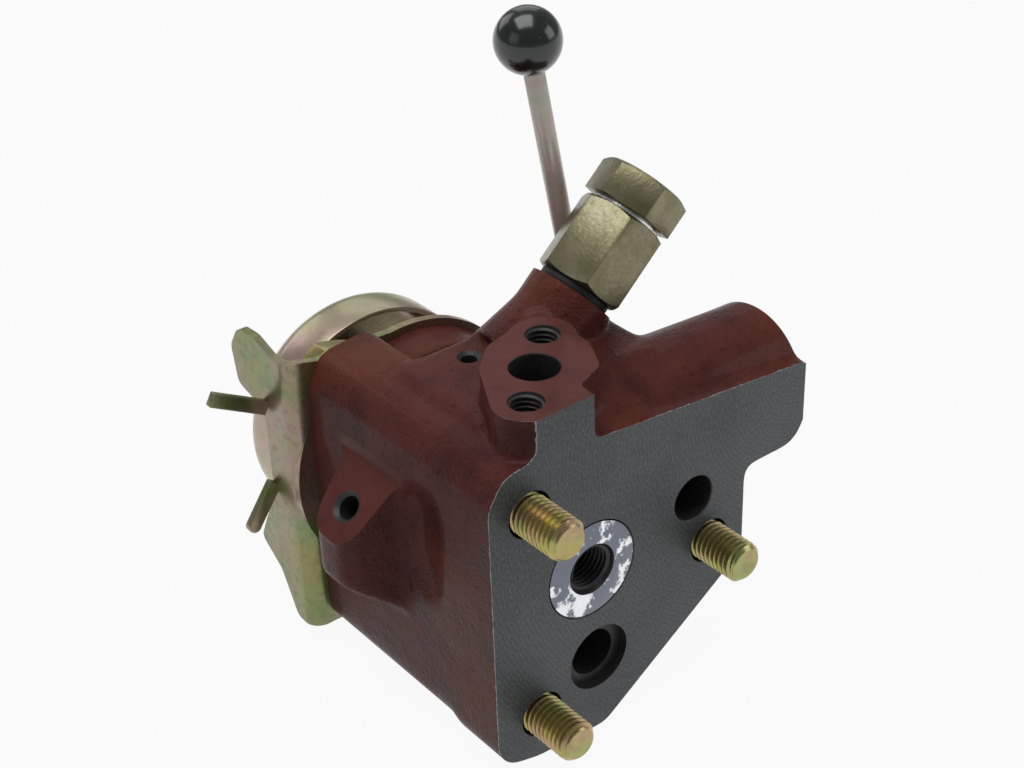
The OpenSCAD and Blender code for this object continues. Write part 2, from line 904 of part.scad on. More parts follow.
// the screw plug sunk in the arm's end, with a hexagon socket
module arm_plug() {
    color(zinc)
        translate([arm_end - plug_sunk, arm_y, arm_z])
            rotate([0, 90, 0])
                difference() {
                    translate([0, 0, -plug_l])
                        cylinder(d = plug_d, h = plug_l);
                    translate([0, 0, -plug_l / 2])
                        linear_extrude(height = plug_l)
                            hex_flat(plug_af);
                }
}

body();
bolts_long();
bolt_short();
bolt_washers();
bracket();
plunger();
spring_cup();
cup_spring();
cup_washer();
cup_nut();
adapter();
seal_ring();
seal_washer();
cap_plug();
lever_shaft();
lever_hub();
clamp_screw();
lever_rod();
ball_knob();
arm_plug();
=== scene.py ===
import math
import bpy
from mathutils import Matrix, Vector


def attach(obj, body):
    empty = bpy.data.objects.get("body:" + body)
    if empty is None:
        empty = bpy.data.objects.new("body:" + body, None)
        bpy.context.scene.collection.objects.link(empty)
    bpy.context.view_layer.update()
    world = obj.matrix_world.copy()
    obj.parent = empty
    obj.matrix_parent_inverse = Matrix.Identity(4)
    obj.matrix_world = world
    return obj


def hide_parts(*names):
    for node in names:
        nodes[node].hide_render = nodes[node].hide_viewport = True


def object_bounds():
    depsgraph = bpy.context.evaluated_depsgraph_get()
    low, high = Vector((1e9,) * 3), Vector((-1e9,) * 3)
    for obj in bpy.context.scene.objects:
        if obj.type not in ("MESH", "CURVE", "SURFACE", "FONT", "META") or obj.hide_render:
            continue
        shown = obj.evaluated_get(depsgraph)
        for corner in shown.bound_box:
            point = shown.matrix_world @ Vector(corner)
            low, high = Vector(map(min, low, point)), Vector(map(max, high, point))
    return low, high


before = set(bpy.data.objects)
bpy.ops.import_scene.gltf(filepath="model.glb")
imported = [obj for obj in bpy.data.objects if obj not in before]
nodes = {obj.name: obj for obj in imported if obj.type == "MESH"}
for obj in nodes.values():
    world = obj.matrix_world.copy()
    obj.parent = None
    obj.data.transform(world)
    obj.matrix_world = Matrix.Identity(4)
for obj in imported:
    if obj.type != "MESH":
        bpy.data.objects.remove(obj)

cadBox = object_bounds()
mm = 0.001
tiny = 1e-6     # points nearer to each other than this, in metres, are one point


# small helpers for selecting, placing and finishing

def enterEdit():
    bpy.ops.object.mode_set(mode="EDIT")


def leaveEdit():
    bpy.ops.object.mode_set(mode="OBJECT")


def clearSelection():
    if bpy.context.object and bpy.context.object.mode != "OBJECT":
        leaveEdit()
    bpy.ops.object.select_all(action="DESELECT")


def makeActive(piece):
    clearSelection()
    piece.select_set(True)
    bpy.context.view_layer.objects.active = piece


def editWhole(piece):   # edit mode with all of the piece selected
    makeActive(piece)
    enterEdit()
    bpy.ops.mesh.select_all(action="SELECT")


# leaves the piece active, in object mode, with no part of it selected
def nothingSelected(piece, mode="FACE"):
    makeActive(piece)
    enterEdit()
    bpy.ops.mesh.select_mode(type=mode)
    bpy.ops.mesh.select_all(action="DESELECT")
    leaveEdit()


def applyAll(piece):
    makeActive(piece)
    bpy.ops.object.transform_apply(location=True, rotation=True, scale=True)


# turns a piece built along Z to a direction and puts it in place
def layAlong(piece, place, along):
    turn = Vector(along).to_track_quat("Z", "Y").to_matrix().to_4x4()
    piece.matrix_world = Matrix.Translation(place) @ turn
    applyAll(piece)


def outwardNormals(piece):
    editWhole(piece)
    bpy.ops.mesh.normals_make_consistent(inside=False)
    leaveEdit()


def applyModifier(piece, kind, **settings):
    makeActive(piece)
    modifier = piece.modifiers.new(kind.lower(), kind)
    for name, value in settings.items():
        setattr(modifier, name, value)
    bpy.ops.object.modifier_apply(modifier=modifier.name)


def easeEdges(piece, width, segments, degrees, **settings):
    applyModifier(piece, "BEVEL", width=width, segments=segments, limit_method="ANGLE",
                  angle_limit=math.radians(degrees), **settings)


def joinPieces(pieces, name):
    clearSelection()
    for piece in pieces:
        piece.select_set(True)
    bpy.context.view_layer.objects.active = pieces[0]
    bpy.ops.object.join()
    pieces[0].name = name
    return pieces[0]


def smoothByAngle(piece, degrees=32):
    makeActive(piece)
    bpy.ops.object.shade_smooth_by_angle(angle=math.radians(degrees))


def fillHoles(piece, sides):
    editWhole(piece)
    bpy.ops.mesh.fill_holes(sides=sides)
    leaveEdit()


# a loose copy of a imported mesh: doubles merged and flat parts made whole again
def copyOfNode(nodeName, pieceName):
    piece = bpy.data.objects.new(pieceName, nodes[nodeName].data.copy())
    bpy.context.scene.collection.objects.link(piece)
    makeActive(piece)
    bpy.ops.mesh.customdata_custom_splitnormals_clear()
    editWhole(piece)
    bpy.ops.mesh.remove_doubles(threshold=tiny)
    bpy.ops.mesh.dissolve_limited(angle_limit=math.radians(0.3))
    leaveEdit()
    piece.data.materials.clear()
    return piece


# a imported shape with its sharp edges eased
def softCopy(nodeName, pieceName, width):
    piece = copyOfNode(nodeName, pieceName)
    easeEdges(piece, width, 2, 30, use_clamp_overlap=True, miter_outer="MITER_ARC")
    return piece


# a turned bar built along Z from (height, radius) steps, then laid along a direction
def turnedBar(name, steps, place=(0, 0, 0), along=(0, 0, 1), sides=64):
    height, radius = steps[0]
    clearSelection()
    bpy.ops.mesh.primitive_circle_add(vertices=sides, radius=radius, fill_type="NGON",
                                      location=(0, 0, height))
    bar = bpy.context.object
    bar.name = name
    applyAll(bar)
    editWhole(bar)
    for newHeight, newRadius in steps[1:]:
        bpy.ops.mesh.extrude_region_move(TRANSFORM_OT_translate={"value": (0, 0, newHeight - height)})
        if newRadius != radius:
            share = newRadius / radius
            bpy.ops.transform.resize(value=(share, share, 1), center_override=(0, 0, newHeight))
        height, radius = newHeight, newRadius
    leaveEdit()
    outwardNormals(bar)
    layAlong(bar, place, along)
    return bar


# one exact boolean with one cutter, which is then removed
def booleanWith(piece, cutter, operation="DIFFERENCE"):
    makeActive(piece)
    modifier = piece.modifiers.new("cut", "BOOLEAN")
    modifier.object = cutter
    modifier.operation = operation
    modifier.solver = "EXACT"
    modifier.material_mode = "TRANSFER"
    bpy.ops.object.modifier_apply(modifier=modifier.name)
    bpy.data.objects.remove(cutter, do_unlink=True)


# a profile wound along Z: the turns of a thread or a spring
def windUp(coil, pitch, turns, steps, holeSides):
    applyModifier(coil, "SCREW", axis="Z", angle=2 * math.pi, screw_offset=pitch, iterations=turns,
                  steps=steps, render_steps=steps, use_normal_calculate=True)
    fillHoles(coil, holeSides)
    outwardNormals(coil)


# a thread's tooth: its width at the root as a share of the pitch, its crest as a share of that, the steps
# in one turn and how far it sinks into the metal
threadForm = {"rootShare": 0.96, "crestShare": 0.2, "tapCrestShare": 0.25, "steps": 32, "bite": 0.15 * mm}


# a tooth between two radii, swept along a helix: the turns of a thread
def threadCoil(name, deep, crest, pitch, turns, crestShare):
    clearSelection()
    bpy.ops.mesh.primitive_plane_add(size=1, rotation=(math.pi / 2, 0, 0))
    coil = bpy.context.object
    coil.name = name
    coil.scale = (abs(crest - deep), threadForm["rootShare"] * pitch, 1)
    coil.location = ((crest + deep) / 2, 0, 0)
    applyAll(coil)
    nothingSelected(coil, "VERT")
    for vertex in coil.data.vertices:
        vertex.select = abs(vertex.co.x - crest) < tiny
    enterEdit()
    bpy.ops.transform.resize(value=(1, 1, crestShare), center_override=(crest, 0, 0))
    bpy.ops.mesh.select_all(action="SELECT")
    bpy.ops.mesh.delete(type="ONLY_FACE")
    leaveEdit()
    windUp(coil, pitch, turns, threadForm["steps"], 4)
    return coil


# gives a piece its body, and its material if it has none yet, and hides the parts that it replaces
def finishPiece(piece, body, material=None, replaced=()):
    if not piece.data.materials:
        piece.data.materials.append(material)
    if replaced:
        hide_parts(*replaced)
    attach(piece, body)


# helpers for shader nodes

def newGroup(name, inputs, outputs):
    group = bpy.data.node_groups.new(name, "ShaderNodeTree")
    for label, kind, value in inputs:
        socket = group.interface.new_socket(name=label, in_out="INPUT", socket_type=kind)
        socket.default_value = value
    for label in outputs:
        group.interface.new_socket(name=label, in_out="OUTPUT", socket_type="NodeSocketFloat")
    return group, group.nodes.new("NodeGroupInput").outputs, group.nodes.new("NodeGroupOutput").inputs


def addNode(tree, kind, settings=None, **values):
    node = tree.nodes.new(kind)
    for key, value in (settings or {}).items():
        setattr(node, key, value)
    for key, value in values.items():
        node.inputs[key.replace("_", " ")].default_value = value
    return node


def objectPlace(tree):
    return addNode(tree, "ShaderNodeTexCoord").outputs["Object"]


def noiseAt(tree, place, scale, detail, roughness):
    node = addNode(tree, "ShaderNodeTexNoise", Detail=detail, Roughness=roughness)
    tree.links.new(place, node.inputs["Vector"])
    if isinstance(scale, (int, float)):
        node.inputs["Scale"].default_value = scale
    else:
        tree.links.new(scale, node.inputs["Scale"])
    return node.outputs[0]


def mathNode(tree, operation, first, second=None, third=None):
    node = tree.nodes.new("ShaderNodeMath")
    node.operation = operation
    for index, value in enumerate((first, second, third)):
        if value is None:
            continue
        if isinstance(value, (int, float)):
            node.inputs[index].default_value = value
        else:
            tree.links.new(value, node.inputs[index])
    return node.outputs[0]


def mixColors(tree, share, first, second):
    node = tree.nodes.new("ShaderNodeMix")
    node.data_type = "RGBA"
    for socket, value in ((node.inputs[0], share), (node.inputs[6], first), (node.inputs[7], second)):
        if isinstance(value, (int, float)):
            socket.default_value = value
        elif isinstance(value, tuple):
            socket.default_value = (*value, 1)
        else:
            tree.links.new(value, socket)
    return node.outputs[2]


def spread(tree, value, low, high, newLow=0.0, newHigh=1.0):
    node = tree.nodes.new("ShaderNodeMapRange")
    tree.links.new(value, node.inputs[0])
    for index, number in enumerate((low, high, newLow, newHigh)):
        node.inputs[index + 1].default_value = number
    return node.outputs[0]


# node groups that more than one finish uses

# uneven cast skin: fine orange peel, soft swells and a few pits
def makeCastSkin():
    group, given, result = newGroup(
        "castSkin",
        [("Peel Scale", "NodeSocketFloat", 620.0), ("Swell Scale", "NodeSocketFloat", 120.0)],
        ["Height", "Mottle", "Pits"])
    place = objectPlace(group)
    peel = noiseAt(group, place, given["Peel Scale"], 3.0, 0.55)
    swell = noiseAt(group, place, given["Swell Scale"], 2.0, 0.5)
    mottle = noiseAt(group, place, 55.0, 6.0, 0.62)
    pits = addNode(group, "ShaderNodeTexVoronoi", Scale=260.0)
    group.links.new(place, pits.inputs["Vector"])
    pitMask = spread(group, pits.outputs["Distance"], 0.10, 0.24, 1.0, 0.0)
    height = mathNode(group, "MULTIPLY_ADD", swell, 1.6, peel)
    height = mathNode(group, "MULTIPLY_ADD", pitMask, -0.35, height)
    group.links.new(height, result["Height"])
    group.links.new(mottle, result["Mottle"])
    group.links.new(pitMask, result["Pits"])
    return group


# paint rubbed off where the casting meets the face's plane and the pad's: 1 at the plane, 0 past the reach
def makeMachinedEdge():
    group, given, result = newGroup(
        "machinedEdge",
        [("Reach", "NodeSocketFloat", 0.5 * mm),
         ("Pad Place", "NodeSocketVector", (-1.4 * mm, 20.6 * mm, 54.6 * mm)),
         ("Pad Reach", "NodeSocketFloat", 26.4 * mm)],
        ["Mask"])
    place = objectPlace(group)
    parts = addNode(group, "ShaderNodeSeparateXYZ")
    group.links.new(place, parts.inputs[0])
    ragged = spread(group, noiseAt(group, place, 420.0, 4.0, 0.6), 0.35, 0.7, 0.2, 1.8)
    reach = mathNode(group, "MULTIPLY", given["Reach"], ragged)
    face = mathNode(group, "LESS_THAN", parts.outputs[1], reach)
    away = addNode(group, "ShaderNodeVectorMath", {"operation": "SUBTRACT"})
    group.links.new(place, away.inputs[0])
    group.links.new(given["Pad Place"], away.inputs[1])
    length = addNode(group, "ShaderNodeVectorMath", {"operation": "LENGTH"})
    group.links.new(away.outputs[0], length.inputs[0])
    awayParts = addNode(group, "ShaderNodeSeparateXYZ")
    group.links.new(away.outputs[0], awayParts.inputs[0])
    offPad = mathNode(group, "ABSOLUTE", awayParts.outputs[2])
    onPad = mathNode(group, "LESS_THAN", offPad, mathNode(group, "MULTIPLY", reach, 0.6))
    nearPad = mathNode(group, "LESS_THAN", length.outputs["Value"], given["Pad Reach"])
    pad = mathNode(group, "MULTIPLY", mathNode(group, "MULTIPLY", onPad, nearPad), 0.6)
    group.links.new(mathNode(group, "MAXIMUM", face, pad), result["Mask"])
    return group


# passivated plating: drifting tints, cloudy tarnish and a fine grain
def makePlating():
    group, given, result = newGroup(
        "plating",
        [("Tint Scale", "NodeSocketFloat", 40.0), ("Grain Scale", "NodeSocketFloat", 900.0),
         ("Cloud Scale", "NodeSocketFloat", 190.0)],
        ["Tint", "Bloom", "Cloud", "Grain"])
    place = objectPlace(group)
    tint = noiseAt(group, place, given["Tint Scale"], 2.0, 0.5)
    bloom = addNode(group, "ShaderNodeTexNoise", {"noise_dimensions": "4D"}, Detail=3.0, Roughness=0.5, W=3.7)
    group.links.new(place, bloom.inputs["Vector"])
    group.links.new(given["Tint Scale"], bloom.inputs["Scale"])
    group.links.new(spread(group, tint, 0.38, 0.62), result["Tint"])
    group.links.new(spread(group, bloom.outputs[0], 0.42, 0.62), result["Bloom"])
    group.links.new(noiseAt(group, place, given["Cloud Scale"], 7.0, 0.66), result["Cloud"])
    group.links.new(noiseAt(group, place, given["Grain Scale"], 2.0, 0.6), result["Grain"])
    return group


castSkin = makeCastSkin()
machinedEdge = makeMachinedEdge()
plating = makePlating()


def newMaterial(name):
    material = bpy.data.materials.new(name)
    material.use_nodes = True
    return material, material.node_tree, material.node_tree.nodes["Principled BSDF"]


def addGroup(tree, group, **values):
    node = tree.nodes.new("ShaderNodeGroup")
    node.node_tree = group
    for key, value in values.items():
        node.inputs[key.replace("_", " ")].default_value = value
    return node


def addBump(tree, shader, height, strength, distance, after=None):
    bump = addNode(tree, "ShaderNodeBump", Strength=strength, Distance=distance)
    tree.links.new(height, bump.inputs["Height"])
    if after is not None:
        tree.links.new(after, bump.inputs["Normal"])
    tree.links.new(bump.outputs[0], shader.inputs["Normal"])
    return bump.outputs[0]


# oxide red paint over cast iron
paintLook = {
    "base": (0.100, 0.024, 0.019), "dark": (0.052, 0.012, 0.010), "warm": (0.135, 0.034, 0.020),
    "rust": (0.170, 0.050, 0.018), "paintedLightTone": (0.22, 0.10, 0.09), "bare": (0.34, 0.34, 0.33), "bareMetal": 0.7,
    "peel": 1250.0, "driftScale": 24.0, "bumpDepth": 0.62 * mm,
    "specular": 0.08, "coat": 0.10, "coatRough": 0.08,
    "castPaint": {"rough": (0.28, 0.44), "bump": 1.0, "wornReach": 0.28 * mm, "paintedLightShare": 0.0},
    # the pad paint is mixed with a pale tone as painted light, so the pad's top and the boss's face look lit
    "padPaint": {"rough": (0.42, 0.56), "bump": 0.22, "wornReach": 0.0, "paintedLightShare": 0.14},
}


def makePaint(name):
    look = paintLook[name]
    material, tree, shader = newMaterial(name)
    skin = addGroup(tree, castSkin, Peel_Scale=paintLook["peel"]).outputs
    color = mixColors(tree, spread(tree, skin["Mottle"], 0.32, 0.52), paintLook["dark"], paintLook["base"])
    color = mixColors(tree, spread(tree, skin["Mottle"], 0.56, 0.74, 0.0, 0.8), color, paintLook["warm"])
    color = mixColors(tree, mathNode(tree, "MULTIPLY", skin["Pits"], 0.5), color, paintLook["dark"])
    drift = noiseAt(tree, objectPlace(tree), paintLook["driftScale"], 3.0, 0.5)
    color = mixColors(tree, spread(tree, drift, 0.50, 0.72, 0.0, 0.5), color, paintLook["rust"])
    # mix in the pale tone by its share: painted light (none on the cast paint, some on the pad paint)
    color = mixColors(tree, look["paintedLightShare"], color, paintLook["paintedLightTone"])
    if look["wornReach"]:
        edge = addGroup(tree, machinedEdge, Reach=look["wornReach"]).outputs["Mask"]
        color = mixColors(tree, edge, color, paintLook["bare"])
        tree.links.new(mathNode(tree, "MULTIPLY", edge, paintLook["bareMetal"]), shader.inputs["Metallic"])
    tree.links.new(color, shader.inputs["Base Color"])
    tree.links.new(spread(tree, skin["Mottle"], 0.3, 0.7, *look["rough"]), shader.inputs["Roughness"])
    shader.inputs["Specular IOR Level"].default_value = paintLook["specular"]
    shader.inputs["Coat Weight"].default_value = paintLook["coat"]
    shader.inputs["Coat Roughness"].default_value = paintLook["coatRough"]
    addBump(tree, shader, skin["Height"], look["bump"], paintLook["bumpDepth"])
    return material


castPaint = makePaint("castPaint")
padPaint = makePaint("padPaint")


# ground cast iron: short slanted grinding marks, wide faint arcs of the grinding head and grey clouds
groundLook = {
    "markScale": 2600.0, "markStretch": (0.7, 0.7, 0.3), "markTurn": math.radians(38),
    "arcCentre": (-78 * mm, 0, -34 * mm), "arcScale": 240.0,
    "groundIron": {"base": (0.060, 0.067, 0.070), "light": (0.158, 0.171, 0.176),
                   "dark": (0.034, 0.038, 0.040), "metallic": 0.35, "rough": 0.48},
    # the bored iron's dark base is painted shade for the inside of the bores and tapped threads; the rear
    # face and the spot faces take it too
    "shadedBoreIron": {"base": (0.034, 0.032, 0.032), "light": (0.060, 0.056, 0.055),
                  "dark": (0.016, 0.015, 0.015), "metallic": 0.25, "rough": 0.46},
}


def makeGroundIron(name):
    look = groundLook[name]
    material, tree, shader = newMaterial(name)
    place = objectPlace(tree)
    turned = addNode(tree, "ShaderNodeMapping", Scale=groundLook["markStretch"],
                     Rotation=(0, groundLook["markTurn"], 0))
    tree.links.new(place, turned.inputs["Vector"])
    marks = noiseAt(tree, turned.outputs[0], groundLook["markScale"], 2.0, 0.7)
    speck = noiseAt(tree, place, 1500.0, 3.0, 0.7)
    cloud = noiseAt(tree, place, 26.0, 4.0, 0.5)
    color = mixColors(tree, spread(tree, cloud, 0.35, 0.75, 0.0, 0.45), look["base"], look["light"])
    color = mixColors(tree, spread(tree, speck, 0.36, 0.56, 0.75, 0.0), color, look["dark"])
    color = mixColors(tree, spread(tree, marks, 0.48, 0.70, 0.0, 0.85), color, look["light"])
    centred = addNode(tree, "ShaderNodeMapping", Location=groundLook["arcCentre"])
    tree.links.new(place, centred.inputs["Vector"])
    arcs = addNode(tree, "ShaderNodeTexWave", {"wave_type": "RINGS", "rings_direction": "Y"},
                   Scale=groundLook["arcScale"], Distortion=4.0, Detail=4.0, Detail_Scale=2.0)
    tree.links.new(centred.outputs[0], arcs.inputs["Vector"])
    arcShare = mathNode(tree, "MULTIPLY", spread(tree, arcs.outputs[1], 0.62, 1.0),
                        spread(tree, cloud, 0.42, 0.60, 0.10, 0.36))
    color = mixColors(tree, arcShare, color, look["light"])
    rough = spread(tree, speck, 0.3, 0.7, look["rough"] - 0.08, look["rough"] + 0.10)
    tree.links.new(color, shader.inputs["Base Color"])
    tree.links.new(rough, shader.inputs["Roughness"])
    shader.inputs["Metallic"].default_value = look["metallic"]
    scratched = addBump(tree, shader, marks, 0.16, 0.05 * mm)
    addBump(tree, shader, speck, 0.14, 0.06 * mm, scratched)
    return material


groundIron = makeGroundIron("groundIron")
shadedBoreIron = makeGroundIron("shadedBoreIron")


# yellow-green passivated plating, from rolled sheet to turned and threaded parts: each has a main colour,
# a second one that drifts in and a third one that blooms in patches, over a dull tarnish
platingLook = {
    "tarnish": (0.150, 0.142, 0.085), "grainDepth": 0.08 * mm,
    "platedSheet": {"colors": ((0.185, 0.265, 0.112), (0.270, 0.262, 0.102), (0.370, 0.255, 0.215)),
                    "metallic": 0.72, "rough": 0.30, "tintScale": 52.0, "cloudScale": 420.0,
                    "bloom": 0.80, "dull": 0.60, "grain": 0.28},
    "platedCup": {"colors": ((0.460, 0.420, 0.250), (0.400, 0.420, 0.260), (0.520, 0.370, 0.340)),
                  "metallic": 0.75, "rough": 0.28, "tintScale": 30.0, "cloudScale": 190.0,
                  "bloom": 1.0, "dull": 0.15, "grain": 0.12},
    # the hexagon finish has a dark base: painted shade for the dark reflections on the flats
    "shadedPlatedHex": {"colors": ((0.235, 0.215, 0.128), (0.270, 0.250, 0.165), (0.200, 0.186, 0.098)),
                  "metallic": 0.80, "rough": 0.30, "tintScale": 130.0, "cloudScale": 820.0,
                  "bloom": 1.0, "dull": 0.62, "grain": 0.65},
    "platedThread": {"colors": ((0.470, 0.400, 0.130), (0.380, 0.390, 0.150), (0.480, 0.340, 0.190)),
                     "metallic": 0.85, "rough": 0.25, "tintScale": 110.0, "cloudScale": 190.0,
                     "bloom": 1.0, "dull": 0.35, "grain": 0.10},
    # the thread valley finish: a dark copy of the thread plating, painted shade between the teeth
    "paintedValleyShade": {"colors": ((0.120, 0.100, 0.035), (0.090, 0.090, 0.040), (0.130, 0.090, 0.050)),
                     "metallic": 0.70, "rough": 0.42, "tintScale": 110.0, "cloudScale": 190.0,
                     "bloom": 1.0, "dull": 0.35, "grain": 0.10},
    # the lever rod's finish is light and barely metallic: painted light for the bright reflection the plated
    # rod shows, down to its shaded underside
    "platedRodPaintedLight": {"colors": ((0.640, 0.545, 0.500), (0.560, 0.620, 0.470), (0.700, 0.540, 0.530)),
                  "metallic": 0.22, "rough": 0.28, "tintScale": 60.0, "cloudScale": 190.0,
                  "bloom": 1.0, "dull": 0.15, "grain": 0.06},
}


def makePlated(name):
    look = platingLook[name]
    main, second, third = look["colors"]
    material, tree, shader = newMaterial(name)
    bath = addGroup(tree, plating, Tint_Scale=look["tintScale"], Cloud_Scale=look["cloudScale"]).outputs
    color = mixColors(tree, bath["Tint"], main, second)
    color = mixColors(tree, mathNode(tree, "MULTIPLY", bath["Bloom"], look["bloom"]), color, third)
    dulled = spread(tree, bath["Cloud"], 0.30, 0.50, look["dull"], 0.0)
    color = mixColors(tree, dulled, color, platingLook["tarnish"])
    rough = spread(tree, bath["Cloud"], 0.3, 0.7, look["rough"] + 0.10, look["rough"] - 0.06)
    tree.links.new(color, shader.inputs["Base Color"])
    tree.links.new(rough, shader.inputs["Roughness"])
    shader.inputs["Metallic"].default_value = look["metallic"]
    height = mathNode(tree, "MULTIPLY_ADD", bath["Cloud"], 0.6, bath["Grain"])
    addBump(tree, shader, height, look["grain"], platingLook["grainDepth"])
    return material


platedSheet = makePlated("platedSheet")
platedCup = makePlated("platedCup")
shadedPlatedHex = makePlated("shadedPlatedHex")
platedThread = makePlated("platedThread")
paintedValleyShade = makePlated("paintedValleyShade")
platedRodPaintedLight = makePlated("platedRodPaintedLight")


# bright steel with rings left by grinding or turning, stained in patches where it is laid open
steelLook = {
    "stain": (0.165, 0.178, 0.215), "shade": 0.45, "ringDepth": 0.03 * mm,
    "groundSteel": {"base": (0.86, 0.87, 0.90), "rough": 0.16, "rings": 900.0, "axis": "Y", "stained": 1.0},
    "rodSteel": {"base": (0.46, 0.46, 0.47), "rough": 0.28, "rings": 600.0, "axis": "Y", "stained": 0.0},
    "springSteel": {"base": (0.24, 0.23, 0.22), "rough": 0.34, "rings": 300.0, "axis": "Y", "stained": 0.0},
    "washerMetal": {"base": (0.80, 0.80, 0.79), "rough": 0.26, "rings": 500.0, "axis": "SPHERICAL",
                    "stained": 0.0},
}


def makeBrightSteel(name):
    look = steelLook[name]
    material, tree, shader = newMaterial(name)
    place = objectPlace(tree)
    rings = addNode(tree, "ShaderNodeTexWave", {"wave_type": "RINGS", "rings_direction": look["axis"]},
                    Scale=look["rings"], Distortion=0.6, Detail=2.0)
    tree.links.new(place, rings.inputs["Vector"])
    cloud = noiseAt(tree, place, 160.0, 5.0, 0.6)
    darker = tuple(steelLook["shade"] * part for part in look["base"])
    color = mixColors(tree, spread(tree, cloud, 0.35, 0.6, 0.22, 0.0), look["base"], darker)
    patch = noiseAt(tree, place, 85.0, 6.0, 0.68)
    color = mixColors(tree, spread(tree, patch, 0.53, 0.56, look["stained"], 0.0), color, steelLook["stain"])
    rough = spread(tree, rings.outputs[1], 0.0, 1.0, look["rough"], look["rough"] + 0.10)
    tree.links.new(color, shader.inputs["Base Color"])
    tree.links.new(rough, shader.inputs["Roughness"])
    shader.inputs["Metallic"].default_value = 1.0
    addBump(tree, shader, rings.outputs[1], 0.06, steelLook["ringDepth"])
    return material


groundSteel = makeBrightSteel("groundSteel")
rodSteel = makeBrightSteel("rodSteel")
springSteel = makeBrightSteel("springSteel")
washerMetal = makeBrightSteel("washerMetal")


# black mouldings: the lever's glossy ball and the dull rubber seal
mouldedLook = {
    "dust": (0.30, 0.30, 0.29), "coatRough": 0.08, "smearDepth": 0.2 * mm,
    "ballBlack": {"base": (0.011, 0.012, 0.013), "rough": 0.20, "dusty": 0.5, "coat": 0.5},
    "sealBlack": {"base": (0.010, 0.010, 0.010), "rough": 0.55, "dusty": 0.4, "coat": 0.0},
}


def makeMoulded(name):
    look = mouldedLook[name]
    material, tree, shader = newMaterial(name)
    place = objectPlace(tree)
    dust = noiseAt(tree, place, 1300.0, 4.0, 0.7)
    smear = noiseAt(tree, place, 90.0, 4.0, 0.6)
    dusted = spread(tree, dust, 0.62, 0.78, 0.0, look["dusty"])
    color = mixColors(tree, dusted, look["base"], mouldedLook["dust"])
    rough = spread(tree, smear, 0.35, 0.65, look["rough"] - 0.04, look["rough"] + 0.08)
    tree.links.new(color, shader.inputs["Base Color"])
    tree.links.new(rough, shader.inputs["Roughness"])
    shader.inputs["Coat Weight"].default_value = look["coat"]
    shader.inputs["Coat Roughness"].default_value = mouldedLook["coatRough"]
    addBump(tree, shader, smear, 0.05, mouldedLook["smearDepth"])
    return material


ballBlack = makeMoulded("ballBlack")
sealBlack = makeMoulded("sealBlack")

print("finishes made")


# the iron casting: the CAD solid with its machined planes given an allowance, its bores
# filled, cast soft all over, then machined again to the real planes and bores
neckTilt = math.radians(47.7)
neckAxis = Vector((math.sin(neckTilt), 0, math.cos(neckTilt)))
neckEnd = Vector((33.5, 47.2, 52.4)) * mm
bossPlace = Vector((-42.9, 52, 12.8)) * mm
bossOut = Vector((-1, 0, 1)).normalized()
casting = {
    "voxel": 0.95 * mm, "rounding": 20, "allowance": 4.5 * mm, "plugGap": 0.05 * mm, "plugDeeper": 0.4 * mm,
    "depth": 82.0 * mm, "armEnd": 79.3 * mm, "armMiddle": (25 * mm, 22 * mm), "armCut": (90 * mm, 60 * mm),
    "padTop": 54.6 * mm, "padMiddle": (-1.4 * mm, 20.6 * mm), "padTurn": math.radians(43.7),
    "padCut": (34.4 * mm, 56 * mm), "padCutShift": 1.8 * mm,
    "swellMiddle": (2.9 * mm, 24.2 * mm), "swellRadius": 14.6 * mm, "swellDeep": 7 * mm,
    "neckAllowance": 2.2 * mm, "neckSpot": 13.7 * mm, "neckCut": 9 * mm,
    "bossRaise": 2.0 * mm, "bossWall": -33.78 * mm, "bossCut": 28 * mm, "bossCutWide": 30 * mm,
    "bossCutShift": 0.2 * mm,
    "cutHigh": 8 * mm, "boreAbove": 4.0 * mm,
}

# how far a bore's plug stands out where its mouth isn't in a plane with the full allowance
raisedBores = {
    "neckBore": 2.15 * mm, "bleedHole": -0.25 * mm, "shaftBore": -0.25 * mm,
    "bossHole": casting["bossRaise"] - casting["plugGap"],
}

# bolts on the face (across, up) and tapped holes on the pad (across, back), in millimetres
boltPlaces = {"A": (-20.4, 27.5), "B": (43.2, -11.2), "C": (-18.4, -40.3)}
padTaps = {"A": (10.89, 32.345), "B": (-13.69, 8.855)}
plugGrowth = 0.45   # millimetres that a plug is larger than its bore


def onFace(place):
    return place[0], 0, place[1]


def onPad(place):
    return place[0], place[1], casting["padTop"] / mm


